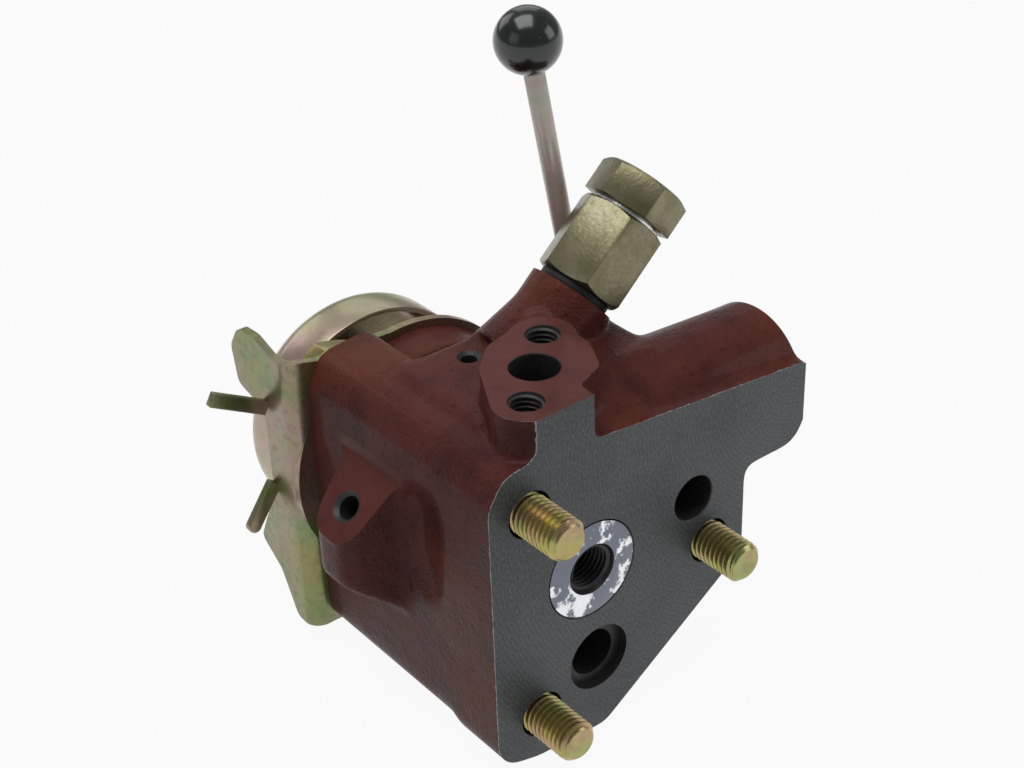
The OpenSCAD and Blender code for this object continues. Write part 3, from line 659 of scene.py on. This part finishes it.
# each bore: where its mouth is, the way into the metal, and (depth, radius) steps in millimetres
bores = {
    "plungerBore": ((0, 0, 0), (0, 1, 0),
                    [(0, 15.1), (0.5, 14.7), (22, 14.7), (22, 8.05), (82, 8.05), (86, 8.05)]),
    "lowerPort": ((2, 0, -31.2), (0, 1, 0), [(0, 10.2), (3, 10.2), (3, 7.15), (30, 7.15)]),
    "sidePort": ((36.9, 0, 6.1), (0, 1, 0), [(0, 7.2), (0.3, 6.9), (18, 6.9)]),
    "boltHoleA": (onFace(boltPlaces["A"]), (0, 1, 0), [(0, 6.95), (0.3, 6.75), (86, 6.75)]),
    "boltHoleB": (onFace(boltPlaces["B"]), (0, 1, 0), [(0, 6.95), (0.3, 6.75), (22.5, 6.75)]),
    "boltHoleC": (onFace(boltPlaces["C"]), (0, 1, 0), [(0, 6.95), (0.3, 6.75), (86, 6.75)]),
    "padPort": (onPad((-1.4, 20.6)), (0, 0, -1), [(0, 7.1), (0.3, 6.9), (26, 6.9)]),
    "padTapA": (onPad(padTaps["A"]), (0, 0, -1), [(0, 4.95), (0.4, 4.75), (17, 4.75)]),
    "padTapB": (onPad(padTaps["B"]), (0, 0, -1), [(0, 4.95), (0.4, 4.75), (17, 4.75)]),
    "bleedHole": ((-0.9, 50.0, 44.4), (0, 0, -1), [(0, 3.5), (1.0, 2.3), (14, 2.3)]),
    "bossHole": (tuple(bossPlace / mm), tuple(-bossOut), [(0, 4.7), (1.0, 3.4), (14, 3.4)]),
    "neckBore": (tuple(neckEnd / mm), tuple(-neckAxis), [(0, 8.0), (16, 8.0)]),
    "shaftBore": ((54.8, 60.5, 17), (0, -1, 0), [(0, 6.05), (16, 6.05)]),
    "armBore": ((79.3, 20.5, 23), (-1, 0, 0), [(0, 11.8), (0.8, 11.0), (12.8, 11.0)]),
}


# a bar of a bore's shape, larger by extra, standing out of the mouth and going deeper at its end
def boreBar(name, extra, before, deeper):
    mouth, inward, steps = bores[name]
    grown = [(-before, (steps[0][1] + extra) * mm)]
    grown += [(depth * mm, (radius + extra) * mm) for depth, radius in steps]
    grown[-1] = (grown[-1][0] + deeper, grown[-1][1])
    rising = [grown[0]]
    for height, radius in grown[1:]:
        rising.append((max(height, rising[-1][0] + tiny), radius))
    return turnedBar(name, rising, Vector(mouth) * mm, inward, sides=72)


def selectOnPlane(piece, point, normal):   # the flat faces that lie on a plane and face along its normal
    nothingSelected(piece)
    for polygon in piece.data.polygons:
        onPlane = abs((polygon.center - Vector(point)).dot(normal)) < 0.02 * mm
        polygon.select = onPlane and polygon.normal.dot(normal) > 0.999


# moves the flat faces that lie on a plane along its normal
def shiftPlane(piece, point, normal, distance):
    normal = Vector(normal).normalized()
    selectOnPlane(piece, point, normal)
    enterEdit()
    bpy.ops.transform.translate(value=normal * distance)
    leaveEdit()


# builds the metal of a slanted flat face up, square to it
def raiseFace(piece, point, normal, distance):
    normal = Vector(normal).normalized()
    selectOnPlane(piece, point, normal)
    enterEdit()
    bpy.ops.mesh.extrude_region_move(TRANSFORM_OT_translate={"value": normal * distance})
    leaveEdit()


# machines a casting down to a plane and gives the new face a finish
def facePlane(piece, point, outward, material):
    nothingSelected(piece)
    editWhole(piece)
    bpy.ops.mesh.bisect(plane_co=point, plane_no=outward, use_fill=True, clear_outer=True)
    leaveEdit()
    piece.data.materials.append(material)
    for polygon in piece.data.polygons:
        onPlane = abs((polygon.center - Vector(point)).dot(Vector(outward))) < 0.01 * mm
        if onPlane and abs(polygon.normal.dot(Vector(outward))) > 0.99:
            polygon.material_index = len(piece.data.materials) - 1


# a block that takes everything above a plane inside a given width and length
def facingCutter(name, point, outward, across, size, material):
    clearSelection()
    bpy.ops.mesh.primitive_cube_add(size=1)
    cutter = bpy.context.object
    cutter.name = name
    outward, across = Vector(outward).normalized(), Vector(across).normalized()
    turn = Matrix((across, outward.cross(across), outward)).transposed().to_4x4()
    middle = Vector(point) + outward * casting["cutHigh"] / 2
    cutter.matrix_world = Matrix.Translation(middle) @ turn @ Matrix.Diagonal((*size, casting["cutHigh"], 1))
    applyAll(cutter)
    cutter.data.materials.append(material)
    return cutter


# the wedge between the side wall's plane and the boss's slanted face
def bossCutter():
    wall, size = casting["bossWall"], casting["bossCut"]
    foot = wall + (bossPlace.z - bossPlace.x)
    clearSelection()
    bpy.ops.mesh.primitive_cube_add(size=1)
    cutter = bpy.context.object
    cutter.scale = (size, casting["bossCutWide"], size)
    cutter.location = (wall - size / 2, bossPlace.y - casting["bossCutShift"], foot + size / 2)
    applyAll(cutter)
    nothingSelected(cutter, "VERT")
    for vertex in cutter.data.vertices:
        vertex.select = vertex.co.x < wall - size / 2 and vertex.co.z < foot + size / 2
    enterEdit()
    bpy.ops.transform.translate(value=(0, 0, -size))
    leaveEdit()
    cutter.data.materials.append(padPaint)
    return cutter


def machineCasting(piece):
    facePlane(piece, (0, 0, 0), (0, -1, 0), groundIron)
    facePlane(piece, (0, casting["depth"], 0), (0, 1, 0), shadedBoreIron)
    padAcross = Vector((-math.sin(casting["padTurn"]), math.cos(casting["padTurn"]), 0))
    padMiddle = Vector((*casting["padMiddle"], casting["padTop"])) - padAcross * casting["padCutShift"]
    padFacing = facingCutter("padFacing", padMiddle, (0, 0, 1), padAcross, casting["padCut"], padPaint)
    booleanWith(piece, padFacing)
    spot = casting["neckSpot"]
    neckFacing = turnedBar("neckFacing", [(0, spot), (casting["neckCut"], spot)], neckEnd, neckAxis)
    neckFacing.data.materials.append(shadedBoreIron)
    booleanWith(piece, neckFacing)
    booleanWith(piece, bossCutter())
    armMiddle = (casting["armEnd"], *casting["armMiddle"])
    armFacing = facingCutter("armFacing", armMiddle, (1, 0, 0), (0, 1, 0), casting["armCut"], shadedBoreIron)
    booleanWith(piece, armFacing)
    # the bore walls take the dark bored iron, painted shade inside the holes
    cutters = [boreBar(name, 0.0, casting["boreAbove"], 0.0) for name in bores]
    for cutter in cutters:
        cutter.data.materials.append(shadedBoreIron)
    booleanWith(piece, joinPieces(cutters, "boreCutters"))


def makeCasting():
    allowance = casting["allowance"]
    piece = copyOfNode("body", "bodyCasting")
    shiftPlane(piece, (0, 0, 0), (0, -1, 0), allowance)
    shiftPlane(piece, (0, casting["depth"], 0), (0, 1, 0), allowance)
    shiftPlane(piece, (0, 0, casting["padTop"]), (0, 0, 1), allowance)
    shiftPlane(piece, (casting["armEnd"], 0, 0), (1, 0, 0), allowance)
    shiftPlane(piece, neckEnd, neckAxis, casting["neckAllowance"])
    raiseFace(piece, bossPlace, bossOut, casting["bossRaise"])
    swell = casting["swellRadius"]
    swellPlace = (*casting["swellMiddle"], casting["padTop"] + allowance)
    plugs = [turnedBar("padSwell", [(0, swell), (casting["swellDeep"], swell)], swellPlace, (0, 0, -1))]
    for name in bores:
        above = raisedBores.get(name, allowance - casting["plugGap"])
        plugs.append(boreBar(name, plugGrowth, above, casting["plugDeeper"]))
    piece = joinPieces([piece] + plugs, "bodyCasting")
    applyModifier(piece, "REMESH", mode="VOXEL", voxel_size=casting["voxel"])
    applyModifier(piece, "SMOOTH", factor=0.5, iterations=casting["rounding"])
    piece.data.materials.clear()
    piece.data.materials.append(castPaint)
    machineCasting(piece)
    smoothByAngle(piece)
    finishPiece(piece, "valve", replaced=["body"])
    print("casting", len(piece.data.polygons), "faces")


makeCasting()


# mounting bolts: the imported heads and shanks, cut at the face, with real threads outside it
studs = {"radius": 6.0 * mm, "root": 4.95 * mm, "pitch": 1.75 * mm, "tip": 4.6 * mm, "inside": 1.8 * mm,
         "chamfer": 1.5 * mm, "tipEdge": 0.35 * mm, "longOut": 16.0 * mm, "shortOut": 15.0 * mm,
         "cutBehind": 0.4 * mm, "soft": 0.3 * mm}


# the body that a stud's thread is cut down to: straight, then chamfered to the tip
def threadEnvelope(out):
    outer = studs["radius"] + 0.05 * mm
    return turnedBar("envelope", [(0.3 * mm - studs["inside"], outer), (out - studs["chamfer"], outer),
                                  (out - 0.1 * mm, studs["tip"])])


def makeStud(name, place, out):
    turns = int(math.ceil((out + studs["inside"]) / studs["pitch"])) + 1
    deep = studs["root"] - threadForm["bite"]
    coil = threadCoil(name + "Coil", deep, studs["radius"], studs["pitch"], turns, threadForm["crestShare"])
    coil.location = (0, 0, -studs["inside"])
    applyAll(coil)
    booleanWith(coil, threadEnvelope(out), "INTERSECT")
    root = studs["root"]
    coreSteps = [(-studs["inside"], root), (out - studs["tipEdge"], root), (out, studs["tip"])]
    core = turnedBar(name + "Core", coreSteps)
    # the core's sides between the teeth take the dark valley finish, painted shade; its tip end keeps the
    # plating
    core.data.materials.append(platedThread)
    core.data.materials.append(paintedValleyShade)
    for polygon in core.data.polygons:
        polygon.material_index = 1 if abs(polygon.normal.z) < 0.5 else 0
    coil.data.materials.clear()     # the boolean leaves an empty slot
    coil.data.materials.append(platedThread)
    for polygon in coil.data.polygons:
        polygon.material_index = 0
    stud = joinPieces([core, coil], name)
    layAlong(stud, place, (0, -1, 0))
    return stud


def makeBolts(nodeName, pieceName, letters, out):
    bolts = softCopy(nodeName, pieceName, studs["soft"])
    editWhole(bolts)
    bpy.ops.mesh.bisect(plane_co=(0, studs["cutBehind"], 0), plane_no=(0, -1, 0), use_fill=True,
                        clear_outer=True)
    leaveEdit()
    bolts.data.materials.append(platedThread)
    threads = [makeStud("stud" + letter, Vector(onFace(boltPlaces[letter])) * mm, out) for letter in letters]
    bolts = joinPieces([bolts] + threads, pieceName)
    smoothByAngle(bolts)
    finishPiece(bolts, "valve", replaced=[nodeName])


makeBolts("bolts_long", "longBolts", "AC", studs["longOut"])
makeBolts("bolt_short", "shortBolt", "B", studs["shortOut"])
print("bolts made")


# thread turns inside the tapped holes: the hole's wall, the thread's crest and how deep it goes
taps = {"pitch": 1.5 * mm, "start": 0.9 * mm,
        "pad": (4.75 * mm, 4.15 * mm, 15.5 * mm), "plunger": (6.95 * mm, 6.2 * mm, 16 * mm)}


def makeTap(name, place, inward, kind, body):
    wall, crest, depth = taps[kind]
    coil = threadCoil(name, wall + threadForm["bite"], crest, taps["pitch"], int(depth / taps["pitch"]),
                      threadForm["tapCrestShare"])
    layAlong(coil, Vector(place) + Vector(inward) * taps["start"], inward)
    smoothByAngle(coil)
    # the tapped thread takes the dark bored iron, painted shade inside the hole
    finishPiece(coil, body, shadedBoreIron)


makeTap("padThreadA", Vector(onPad(padTaps["A"])) * mm, (0, 0, -1), "pad", "valve")
makeTap("padThreadB", Vector(onPad(padTaps["B"])) * mm, (0, 0, -1), "pad", "valve")

# the plunger: its ground head and plain rod, with the tapped hole opened to the thread's full size
plungerLook = {"soft": 0.25 * mm, "mouth": 7.75 * mm, "chamfer": 1.3 * mm, "tapDeep": 17.9 * mm,
               "above": 2 * mm, "headDeep": 25 * mm}


def makePlunger():
    mouth, wall = plungerLook["mouth"], taps["plunger"][0]
    plunger = softCopy("plunger", "plungerHead", plungerLook["soft"])
    tap = turnedBar("plungerTap", [(-plungerLook["above"], mouth), (0, mouth), (plungerLook["chamfer"], wall),
                                   (plungerLook["tapDeep"], wall)], (0, 0, 0), (0, 1, 0), 72)
    plunger.data.materials.append(groundSteel)
    # the plunger's tapped hole takes the dark bored iron, painted shade
    tap.data.materials.append(shadedBoreIron)
    booleanWith(plunger, tap)
    plunger.data.materials.append(rodSteel)
    for polygon in plunger.data.polygons:
        if polygon.center.y > plungerLook["headDeep"]:
            polygon.material_index = len(plunger.data.materials) - 1
    smoothByAngle(plunger)
    finishPiece(plunger, "plunger", replaced=["plunger"])


makePlunger()
makeTap("plungerThread", (0, 0, 0), (0, 1, 0), "plunger", "plunger")
print("plunger made")


# the buffer spring: a round wire wound on the plunger's rod
spring = {"wire": 2.0 * mm, "wireSides": 14, "radius": 16.5 * mm, "turns": 4, "steps": 48,
          "start": 116.8 * mm, "length": 27.0 * mm}


def makeSpring():
    clearSelection()
    bpy.ops.mesh.primitive_circle_add(vertices=spring["wireSides"], radius=spring["wire"],
                                      rotation=(math.pi / 2, 0, 0))
    coil = bpy.context.object
    coil.name = "bufferSpring"
    coil.location = (spring["radius"], 0, spring["wire"])
    applyAll(coil)
    pitch = (spring["length"] - 2 * spring["wire"]) / spring["turns"]
    windUp(coil, pitch, spring["turns"], spring["steps"], spring["wireSides"])
    layAlong(coil, (0, spring["start"], 0), (0, -1, 0))
    smoothByAngle(coil, 45)
    finishPiece(coil, "plunger", springSteel, ["cup_spring"])


makeSpring()

# the bracket: a plate behind the casting, rolled round at its left edge into an upright ear, in millimetres:
# outlines are (across, up, corner radius), and the first and last corners lie on the bend line
bracketLook = {
    "seat": 82.0, "left": 39.7, "bend": 5.0, "bendSteps": 12, "sheet": 2.5, "round": 39.8, "soft": 0.45,
    "plate": [(-34.7, 41.4, 0), (-29, 39.8, 6), (-19, 40.3, 6), (-4, 39.5, 2), (-4, -39.0, 2),
              (-14, -50.2, 7), (-34.7, -50.2, 0)],
    "ear": [(87, -50.2, 0), (91, -49.9, 3), (98, -36, 5), (107.5, -29, 2.6), (105, -23.5, 3), (97, -8, 9),
            (97, 20.5, 4.5), (110.5, 24.2, 3), (112.5, 36, 4.5), (107.5, 43.6, 4.5), (99.5, 44, 5),
            (91.5, 41.2, 5), (87, 41.4, 0)],
    "rodHole": 9.5, "boltHole": 6.75, "cutBefore": 1, "cutPast": 5,
    "prongs": [("prongUp", (-40.0, 22.6), (-57.0, 32.3)), ("prongDown", (-40.0, -3.0), (-49.6, -16.4))],
    "prongWide": 4.2, "prongAt": 95.75, "prongSoft": 0.28, "prongRound": 1.9, "prongRoundReach": 2.4,
}


# a flat sheet from its corners, each one then rounded: corners are placed in the XY plane
def flatSheet(name, corners):
    clearSelection()
    bpy.ops.mesh.primitive_circle_add(vertices=len(corners), radius=1, fill_type="NGON")
    sheet = bpy.context.object
    sheet.name = name
    for index, (across, up, radius) in enumerate(corners):
        nothingSelected(sheet, "VERT")
        vertex = sheet.data.vertices[index]
        vertex.select = True
        move = Vector((across * mm, up * mm, 0)) - vertex.co
        enterEdit()
        bpy.ops.transform.translate(value=move)
        leaveEdit()
    for index, (across, up, radius) in enumerate(corners):
        if not radius:
            continue
        here = Vector((across, up))
        before = Vector(corners[index - 1][:2]) - here
        after = Vector(corners[(index + 1) % len(corners)][:2]) - here
        reach = min(radius / math.tan(before.angle(after) / 2), 0.48 * before.length, 0.48 * after.length)
        nothingSelected(sheet, "VERT")
        for vertex in sheet.data.vertices:
            vertex.select = (vertex.co.xy - here * mm).length < tiny
        enterEdit()
        bpy.ops.mesh.bevel(offset=reach * mm, segments=10, affect="VERTICES")
        leaveEdit()
    return sheet


# a strip sheared from the ear and bent out, from its start to its end in (across, up)
def makeProng(name, start, end):
    startPoint, endPoint = Vector(start) * mm, Vector(end) * mm
    middle, along = (startPoint + endPoint) / 2, endPoint - startPoint
    clearSelection()
    bpy.ops.mesh.primitive_cube_add(size=1)
    prong = bpy.context.object
    prong.name = name
    prong.scale = (along.length, bracketLook["sheet"] * mm, bracketLook["prongWide"] * mm)
    prong.rotation_euler = (0, -math.atan2(along.y, along.x), 0)
    prong.location = (middle.x, bracketLook["prongAt"] * mm, middle.y)
    applyAll(prong)
    if name == "prongDown":     # its end is rounded over
        nothingSelected(prong, "EDGE")
        for edge in prong.data.edges:
            ends = [prong.data.vertices[index].co for index in edge.vertices]
            alongY = abs(ends[0].x - ends[1].x) < tiny and abs(ends[0].z - ends[1].z) < tiny
            edge.select = alongY and ends[0].x < endPoint.x + bracketLook["prongRoundReach"] * mm
        enterEdit()
        bpy.ops.mesh.bevel(offset=bracketLook["prongRound"] * mm, segments=8, affect="EDGES")
        leaveEdit()
    easeEdges(prong, bracketLook["prongSoft"] * mm, 3, 50)
    return prong


# the plate's outline, its rolled edge and the ear, as one sheet without thickness
def foldedSheet():
    look = bracketLook
    plate = flatSheet("plate", look["plate"])
    standing = Matrix.Rotation(math.radians(90), 4, "X")
    plate.matrix_world = Matrix.Translation((0, look["seat"] * mm, 0)) @ standing
    applyAll(plate)
    nothingSelected(plate, "EDGE")
    bendLine = (-look["left"] + look["bend"]) * mm
    for edge in plate.data.edges:
        edge.select = all(abs(plate.data.vertices[index].co.x - bendLine) < tiny for index in edge.vertices)
    enterEdit()
    bendCentre = (bendLine, (look["seat"] + look["bend"]) * mm, 0)
    bpy.ops.mesh.spin(steps=look["bendSteps"], angle=math.radians(90), center=bendCentre, axis=(0, 0, 1))
    leaveEdit()
    ear = flatSheet("ear", look["ear"])
    upright = Matrix(((0, 0, 1, 0), (1, 0, 0, 0), (0, 1, 0, 0), (0, 0, 0, 1)))
    ear.matrix_world = Matrix.Translation((-look["left"] * mm, 0, 0)) @ upright
    applyAll(ear)
    sheet = joinPieces([plate, ear], "bracketSheet")
    editWhole(sheet)
    bpy.ops.mesh.remove_doubles(threshold=20 * tiny)
    bpy.ops.mesh.normals_make_consistent(inside=False)
    leaveEdit()
    return sheet


# a round bar through the plate, from start to end behind its seat
def plateBar(name, x, z, start, end, radius, sides):
    seat = (x * mm, bracketLook["seat"] * mm, z * mm)
    return turnedBar(name, [(start * mm, radius * mm), (end * mm, radius * mm)], seat, (0, 1, 0), sides)


def makeBracket():
    look = bracketLook
    bracket = foldedSheet()
    facingBack = sum(polygon.normal.y for polygon in bracket.data.polygons if abs(polygon.normal.y) > 0.99)
    outside = 1 if facingBack > 0 else -1
    applyModifier(bracket, "SOLIDIFY", thickness=look["sheet"] * mm, offset=outside, use_even_offset=True)
    booleanWith(bracket, plateBar("plateDisc", 0, 0, 0, look["sheet"], look["round"], 160), "UNION")
    holes = [plateBar("rodHole", 0, 0, -look["cutBefore"], look["cutPast"], look["rodHole"], 64)]
    for letter in "AC":
        x, z = boltPlaces[letter]
        holes.append(plateBar("boltHole", x, z, -look["cutBefore"], look["cutPast"], look["boltHole"], 48))
    booleanWith(bracket, joinPieces(holes, "plateHoles"))
    easeEdges(bracket, look["soft"] * mm, 3, 50)
    bracket = joinPieces([bracket] + [makeProng(*prong) for prong in look["prongs"]], "bracketSheet")
    outwardNormals(bracket)
    smoothByAngle(bracket, 40)
    bracket.data.materials.clear()     # the booleans leave an empty slot
    finishPiece(bracket, "valve", platedSheet, ["bracket"])
    print("bracket", len(bracket.data.polygons), "faces")


makeBracket()

# sheet, turned and hexagon parts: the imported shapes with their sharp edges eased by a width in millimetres
softened = [
    ("bolt_washers", "boltWashers", 0.3, platedThread, "valve", "zinc_yellow"),
    # the hex parts take the darkened hexagon plating, painted shade on their flats
    ("cap_plug", "hexCap", 0.35, shadedPlatedHex, "valve", "zinc_yellow"),
    ("arm_plug", "armPlug", 0.35, shadedPlatedHex, "valve", "zinc_yellow"),
    ("seal_ring", "sealRing", 0.5, sealBlack, "valve", "black_rubber"),
    ("seal_washer", "sealWasher", 0.3, washerMetal, "valve", "bright_washer"),
    ("spring_cup", "springCup", 0.35, platedCup, "plunger", "zinc_yellow"),
    ("cup_washer", "cupWasher", 0.3, platedThread, "plunger", "zinc_yellow"),
    ("cup_nut", "cupNut", 0.35, shadedPlatedHex, "plunger", "zinc_yellow"),
    ("lever_hub", "leverHub", 0.4, shadedPlatedHex, "lever", "zinc_yellow"),
    ("clamp_screw", "clampScrew", 0.2, shadedPlatedHex, "lever", "zinc_yellow"),
    ("lever_shaft", "leverShaft", 0.4, springSteel, "lever", "ground_steel"),
    # the rod takes the light rod plating, painted light
    ("lever_rod", "leverRod", 0.2, platedRodPaintedLight, "lever", "zinc_yellow"),
]
for nodeName, pieceName, width, material, body, slotName in softened:
    piece = softCopy(nodeName, pieceName, width * mm)
    smoothByAngle(piece)
    finishPiece(piece, body, material, [nodeName])
nodes["ball_knob"].material_slots[0].material = ballBlack

# the adapter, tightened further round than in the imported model
adapterLook = {"soft": 0.35 * mm, "turn": math.radians(25)}
adapter = softCopy("adapter", "hexAdapter", adapterLook["soft"])
tighten = Matrix.Rotation(adapterLook["turn"], 4, neckAxis)
adapter.matrix_world = Matrix.Translation(neckEnd) @ tighten @ Matrix.Translation(-neckEnd)
applyAll(adapter)
smoothByAngle(adapter)
# the adapter takes the darkened hexagon plating, painted shade on its flats
finishPiece(adapter, "valve", shadedPlatedHex, ["adapter"])
print("fittings made")


# floor, light and camera: each lamp has a place, a size and a power
studio = {
    "floorDrop": 0.3 * mm, "floorSize": 8, "floorGrey": 0.56, "floorGlow": 0.93, "world": 0.22,
    "aim": (0.01, 0.03, 0.02),
    "lamps": [
        ("topLight", (-0.10, 0.10, 0.95), 0.7, 4.8),
        ("leftLight", (-0.85, 0.05, 0.45), 0.5, 0.40),
        ("rightLight", (0.75, -0.55, 0.45), 0.5, 1.3),
        ("backLight", (-0.1, 0.9, 0.5), 0.5, 0.9),
        ("sheenLight", (0.52, 0.70, 0.60), 0.55, 0.7),
    ],
}


def makeFloor():
    low = min(cadBox[0][2], cadBox[1][2])
    clearSelection()
    bpy.ops.mesh.primitive_plane_add(size=studio["floorSize"], location=(0, 0, low - studio["floorDrop"]))
    floor = bpy.context.object
    floor.name = "floor"
    material, tree, shader = newMaterial("floorPaper")
    shader.inputs["Base Color"].default_value = (*(studio["floorGrey"],) * 3, 1)
    shader.inputs["Roughness"].default_value = 0.9
    shader.inputs["Specular IOR Level"].default_value = 0.1
    glow = addNode(tree, "ShaderNodeEmission")
    glow.inputs["Color"].default_value = (1, 1, 1, 1)
    both = tree.nodes.new("ShaderNodeMixShader")
    path = addNode(tree, "ShaderNodeLightPath").outputs
    seen = mathNode(tree, "MAXIMUM", path["Is Camera Ray"], path["Is Glossy Ray"])
    seen = mathNode(tree, "MAXIMUM", seen, path["Is Transmission Ray"])
    tree.links.new(mathNode(tree, "MULTIPLY", seen, studio["floorGlow"]), both.inputs[0])
    tree.links.new(shader.outputs[0], both.inputs[1])
    tree.links.new(glow.outputs[0], both.inputs[2])
    tree.links.new(both.outputs[0], tree.nodes["Material Output"].inputs["Surface"])
    floor.data.materials.append(material)


def makeLights():
    world = bpy.data.worlds.new("studioWorld")
    bpy.context.scene.world = world
    world.use_nodes = True
    sky = world.node_tree.nodes["Background"]
    sky.inputs["Color"].default_value = (1, 1, 1, 1)
    sky.inputs["Strength"].default_value = studio["world"]
    for name, place, size, power in studio["lamps"]:
        lamp = bpy.data.lights.new(name, "AREA")
        lamp.energy = power
        lamp.size = size
        holder = bpy.data.objects.new(name, lamp)
        bpy.context.scene.collection.objects.link(holder)
        holder.location = place
        holder.rotation_euler = (Vector(studio["aim"]) - Vector(place)).to_track_quat("-Z", "Y").to_euler()
    bpy.context.scene.view_settings.view_transform = "Standard"


# the photograph's own view: where the camera stood and which ways were right and up in it
cameraLook = {"lens": 66.59, "sensor": 36, "clip": 0.01, "place": (-0.2618, -0.3100, 0.3088),
              "right": (0.78190, -0.62260, -0.03170), "up": (0.34790, 0.39370, 0.85090)}


def makeCamera():
    right = Vector(cameraLook["right"])
    away = right.cross(Vector(cameraLook["up"])).normalized()
    up = away.cross(right).normalized()
    camera = bpy.data.cameras.new("camera")
    camera.lens = cameraLook["lens"]
    camera.sensor_width = cameraLook["sensor"]
    camera.clip_start = cameraLook["clip"]
    holder = bpy.data.objects.new("camera", camera)
    bpy.context.scene.collection.objects.link(holder)
    turn = Matrix((right.normalized(), up, away)).transposed().to_4x4()
    holder.matrix_world = Matrix.Translation(cameraLook["place"]) @ turn
    bpy.context.scene.camera = holder


makeFloor()
makeLights()
makeCamera()
